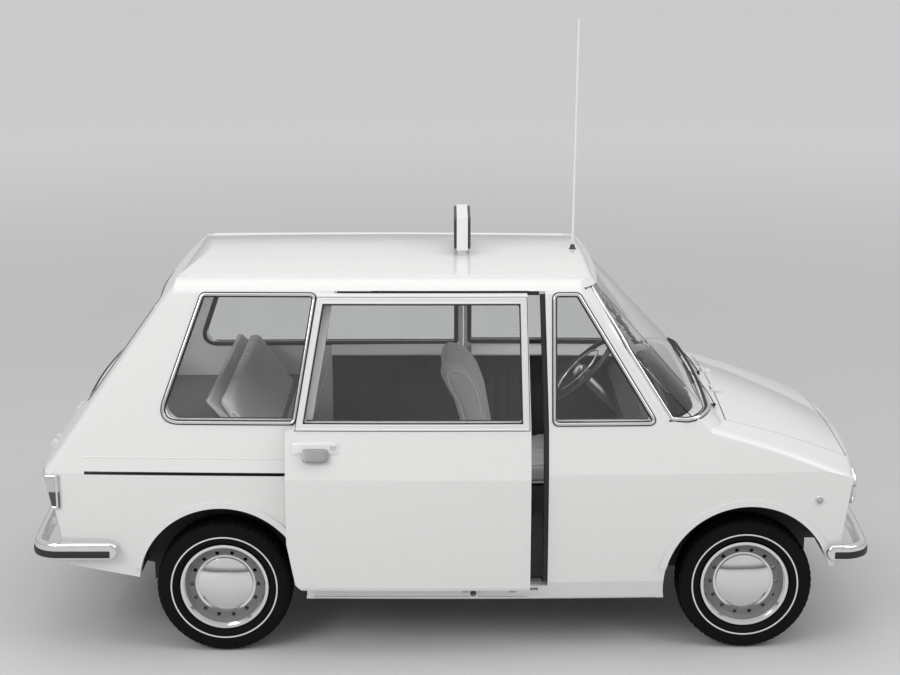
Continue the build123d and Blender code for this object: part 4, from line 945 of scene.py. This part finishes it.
# Seats: foam pads in grey cloth covers with sewn channels and pale piping round each end.
# The driver's seat is a pad and a back; the bench crosses the car.
# Cut and sewn, then pulled over the foam, which fills them tight.
# Each seat has its CAD node, remesh size, width, channel pitch and foot height, then its pads:
# a section in side view, its corner rounds, and the pad's own width.
SEATS = [
    ("driver_seat", "driver_seat_cushion", 0.0085, (0.100, 0.560), 0.0575, 0.420, [
        ([(0.160, 0.4203), (0.600, 0.4203), (0.605, 0.545), (0.150, 0.520)], 0.030, (0.100, 0.560)),
        ([(0.100, 0.530), (0.190, 0.545), (0.165, 0.690), (0.146, 0.790), (0.110, 0.885), (0.055, 0.960),
          (-0.015, 0.978), (-0.052, 0.945), (-0.030, 0.890), (0.020, 0.790), (0.055, 0.680)],
         0.030, (0.110, 0.550)),
    ]),
    ("rear_bench", "rear_bench_cushion", 0.0115, (-0.580, 0.580), 0.0725, 0.430, [
        ([(-0.655, 0.4303), (-0.235, 0.4303), (-0.225, 0.560), (-0.640, 0.530)], 0.030, (-0.480, 0.480)),
        ([(-0.655, 0.575), (-0.600, 0.620), (-0.850, 1.002), (-0.925, 1.002), (-0.690, 0.720)],
         (0.01, 0.02, 0.03, 0.025, 0.02), (-0.580, 0.580)),
    ]),
]
SWELL = 0.010
PRESSURE, CLOTH_STEPS = 4.0, 20
FOOT_CLEAR = 0.0005
END_ROUND = 0.045
CHANNEL_DEPTH = 0.007
CHANNEL_WIDTH = 0.006
PANEL_EDGE, PANEL_EASE = 0.045, 0.004
PIPING = bead(0.008, 0.006, 0.003)
PIPING_IN = 0.022


def pad_form(corners, radius, span):
    """A rounded section carried across the car, drawn in towards its middle where each end rounds over."""
    flat = rounded_outline(corners, radius, -0.5 * SWELL, 0.02)
    middle = flat.mean(0)
    turn = np.linspace(0, np.pi / 2, 7)
    from_end = END_ROUND * (1 - np.cos(turn))
    y = np.concatenate([span[0] + from_end, span[1] - from_end[::-1]])
    shrink = END_ROUND * (1 - np.sin(turn))
    shrink = np.concatenate([shrink, shrink[::-1]])
    half = np.linalg.norm(flat - middle, axis=1).min()
    scale = 1 - 0.8 * shrink / max(half, END_ROUND)
    ring = middle + scale[:, None, None] * (flat - middle)
    grid = np.stack([ring[..., 0], np.broadcast_to(y[:, None], ring.shape[:2]), ring[..., 1]], -1)
    return grid.reshape(-1, 3), ring_faces(*grid.shape[:2])


def vertices_of(mesh):
    """A mesh's points as an array."""
    points = np.empty(3 * len(mesh.vertices))
    mesh.vertices.foreach_get("co", points)
    return points.reshape(-1, 3)


def finished_mesh(thing):
    """The mesh of an object with its modifiers applied."""
    return bpy.data.meshes.new_from_object(thing.evaluated_get(bpy.context.evaluated_depsgraph_get()))


def filled(thing, voxel, rest_z):
    """Remeshes a cover evenly, swells it by cloth pressure up to a cap, and lays its foot on the frame."""
    even = thing.modifiers.new("even", "REMESH")
    even.mode = "VOXEL"
    even.voxel_size = voxel
    thing.data = finished_mesh(thing)
    thing.modifiers.clear()
    before = vertices_of(thing.data)
    after = before
    cloth = thing.modifiers.new("cover", "CLOTH")
    cloth.settings.use_pressure = True
    cloth.settings.uniform_pressure_force = PRESSURE
    cloth.settings.effector_weights.gravity = 0.0
    for step in range(1, CLOTH_STEPS + 1):
        bpy.context.scene.frame_set(step)
    after = vertices_of(finished_mesh(thing))
    thing.modifiers.clear()
    bpy.context.scene.frame_set(1)
    move = after - before
    reach = np.linalg.norm(move, axis=1)[:, None]
    after = before + move * np.minimum(1.0, SWELL / np.maximum(reach, 1e-9))
    after[:, 2] = np.maximum(after[:, 2], rest_z + FOOT_CLEAR)
    thing.data.vertices.foreach_set("co", after.ravel())
    finer = thing.modifiers.new("finer", "SUBSURF")
    finer.levels = finer.render_levels = 1
    thing.data = finished_mesh(thing)
    thing.modifiers.clear()


def sewn(thing, span, pitch):
    """Draws the cover in along channels a pitch apart, on the panel of its faces that look up or forward."""
    points = vertices_of(thing.data)
    normals = np.empty(points.size)
    thing.data.vertices.foreach_get("normal", normals)
    normals = normals.reshape(-1, 3)
    facing = np.maximum(normals[:, 2], 0.97 * normals[:, 0] + 0.24 * normals[:, 2])
    show = np.clip((facing - 0.5) / 0.3, 0, 1)
    y = points[:, 1] - np.mean(span)
    inside = np.clip((0.5 * np.ptp(span) - PANEL_EDGE - np.abs(y)) / PANEL_EASE, 0, 1)
    near = (y / pitch + 0.5) % 1.0 - 0.5
    dip = np.exp(-((near * pitch / CHANNEL_WIDTH) ** 2)) * inside
    points -= normals * (CHANNEL_DEPTH * show * dip)[:, None]
    thing.data.vertices.foreach_set("co", points.ravel())
    thing.data.polygons.foreach_set("use_smooth", np.ones(len(thing.data.polygons), dtype=bool))
    thing.data.update()


seat_cloth, nodes, links, shader = new_material("seat_cloth", grey(0.30), 0.85)
shader.inputs["Sheen Weight"].default_value = 0.25
grained(nodes, links, shader, 900.0, 0.0012, grey(0.52), grey(0.34))
dress(["rear_bench_base"], seat_cloth)
piping_cord = grained_finish(
    "piping_cord", (0.62, 0.62, 0.61), 0.5, 700.0, 0.0004, (0.66, 0.66, 0.65), (0.55, 0.55, 0.54)
)
for name, node, voxel, span, pitch, rest_z, forms in SEATS:
    points, faces = [], []
    for form in forms:
        own_points, own_faces = pad_form(*form)
        faces += [[len(points) + k for k in face] for face in own_faces]
        points += own_points.tolist()
    cover = mesh_piece(f"{name}_cover", points, faces, seat_cloth)
    filled(cover, voxel, rest_z)
    sewn(cover, span, pitch)
    carry(cover, "shell")
    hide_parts(node)
    faces = [list(face.vertices) for face in cover.data.polygons]
    tree = BVHTree.FromPolygons(vertices_of(cover.data).tolist(), faces)
    for part, (corners, radius, reach) in zip(("pad", "back"), forms):
        middle = rounded_outline(corners, radius, 0.0).mean(0)
        turn = np.linspace(0, 2 * np.pi, 161)[:-1]
        away = np.stack([np.cos(turn), np.zeros(160), np.sin(turn)], -1)
        for hand, y in (("right", reach[0] + PIPING_IN), ("left", reach[1] - PIPING_IN)):
            hub = np.array([middle[0], y, middle[1]])
            path, inward = lay_on(tree, np.tile(hub, (160, 1)), away)
            out = smoothed(-inward, True)
            cord = swept(f"{name}_{part}_piping_{hand}", path, out, PIPING, piping_cord, True)
            carry(cord, "shell")
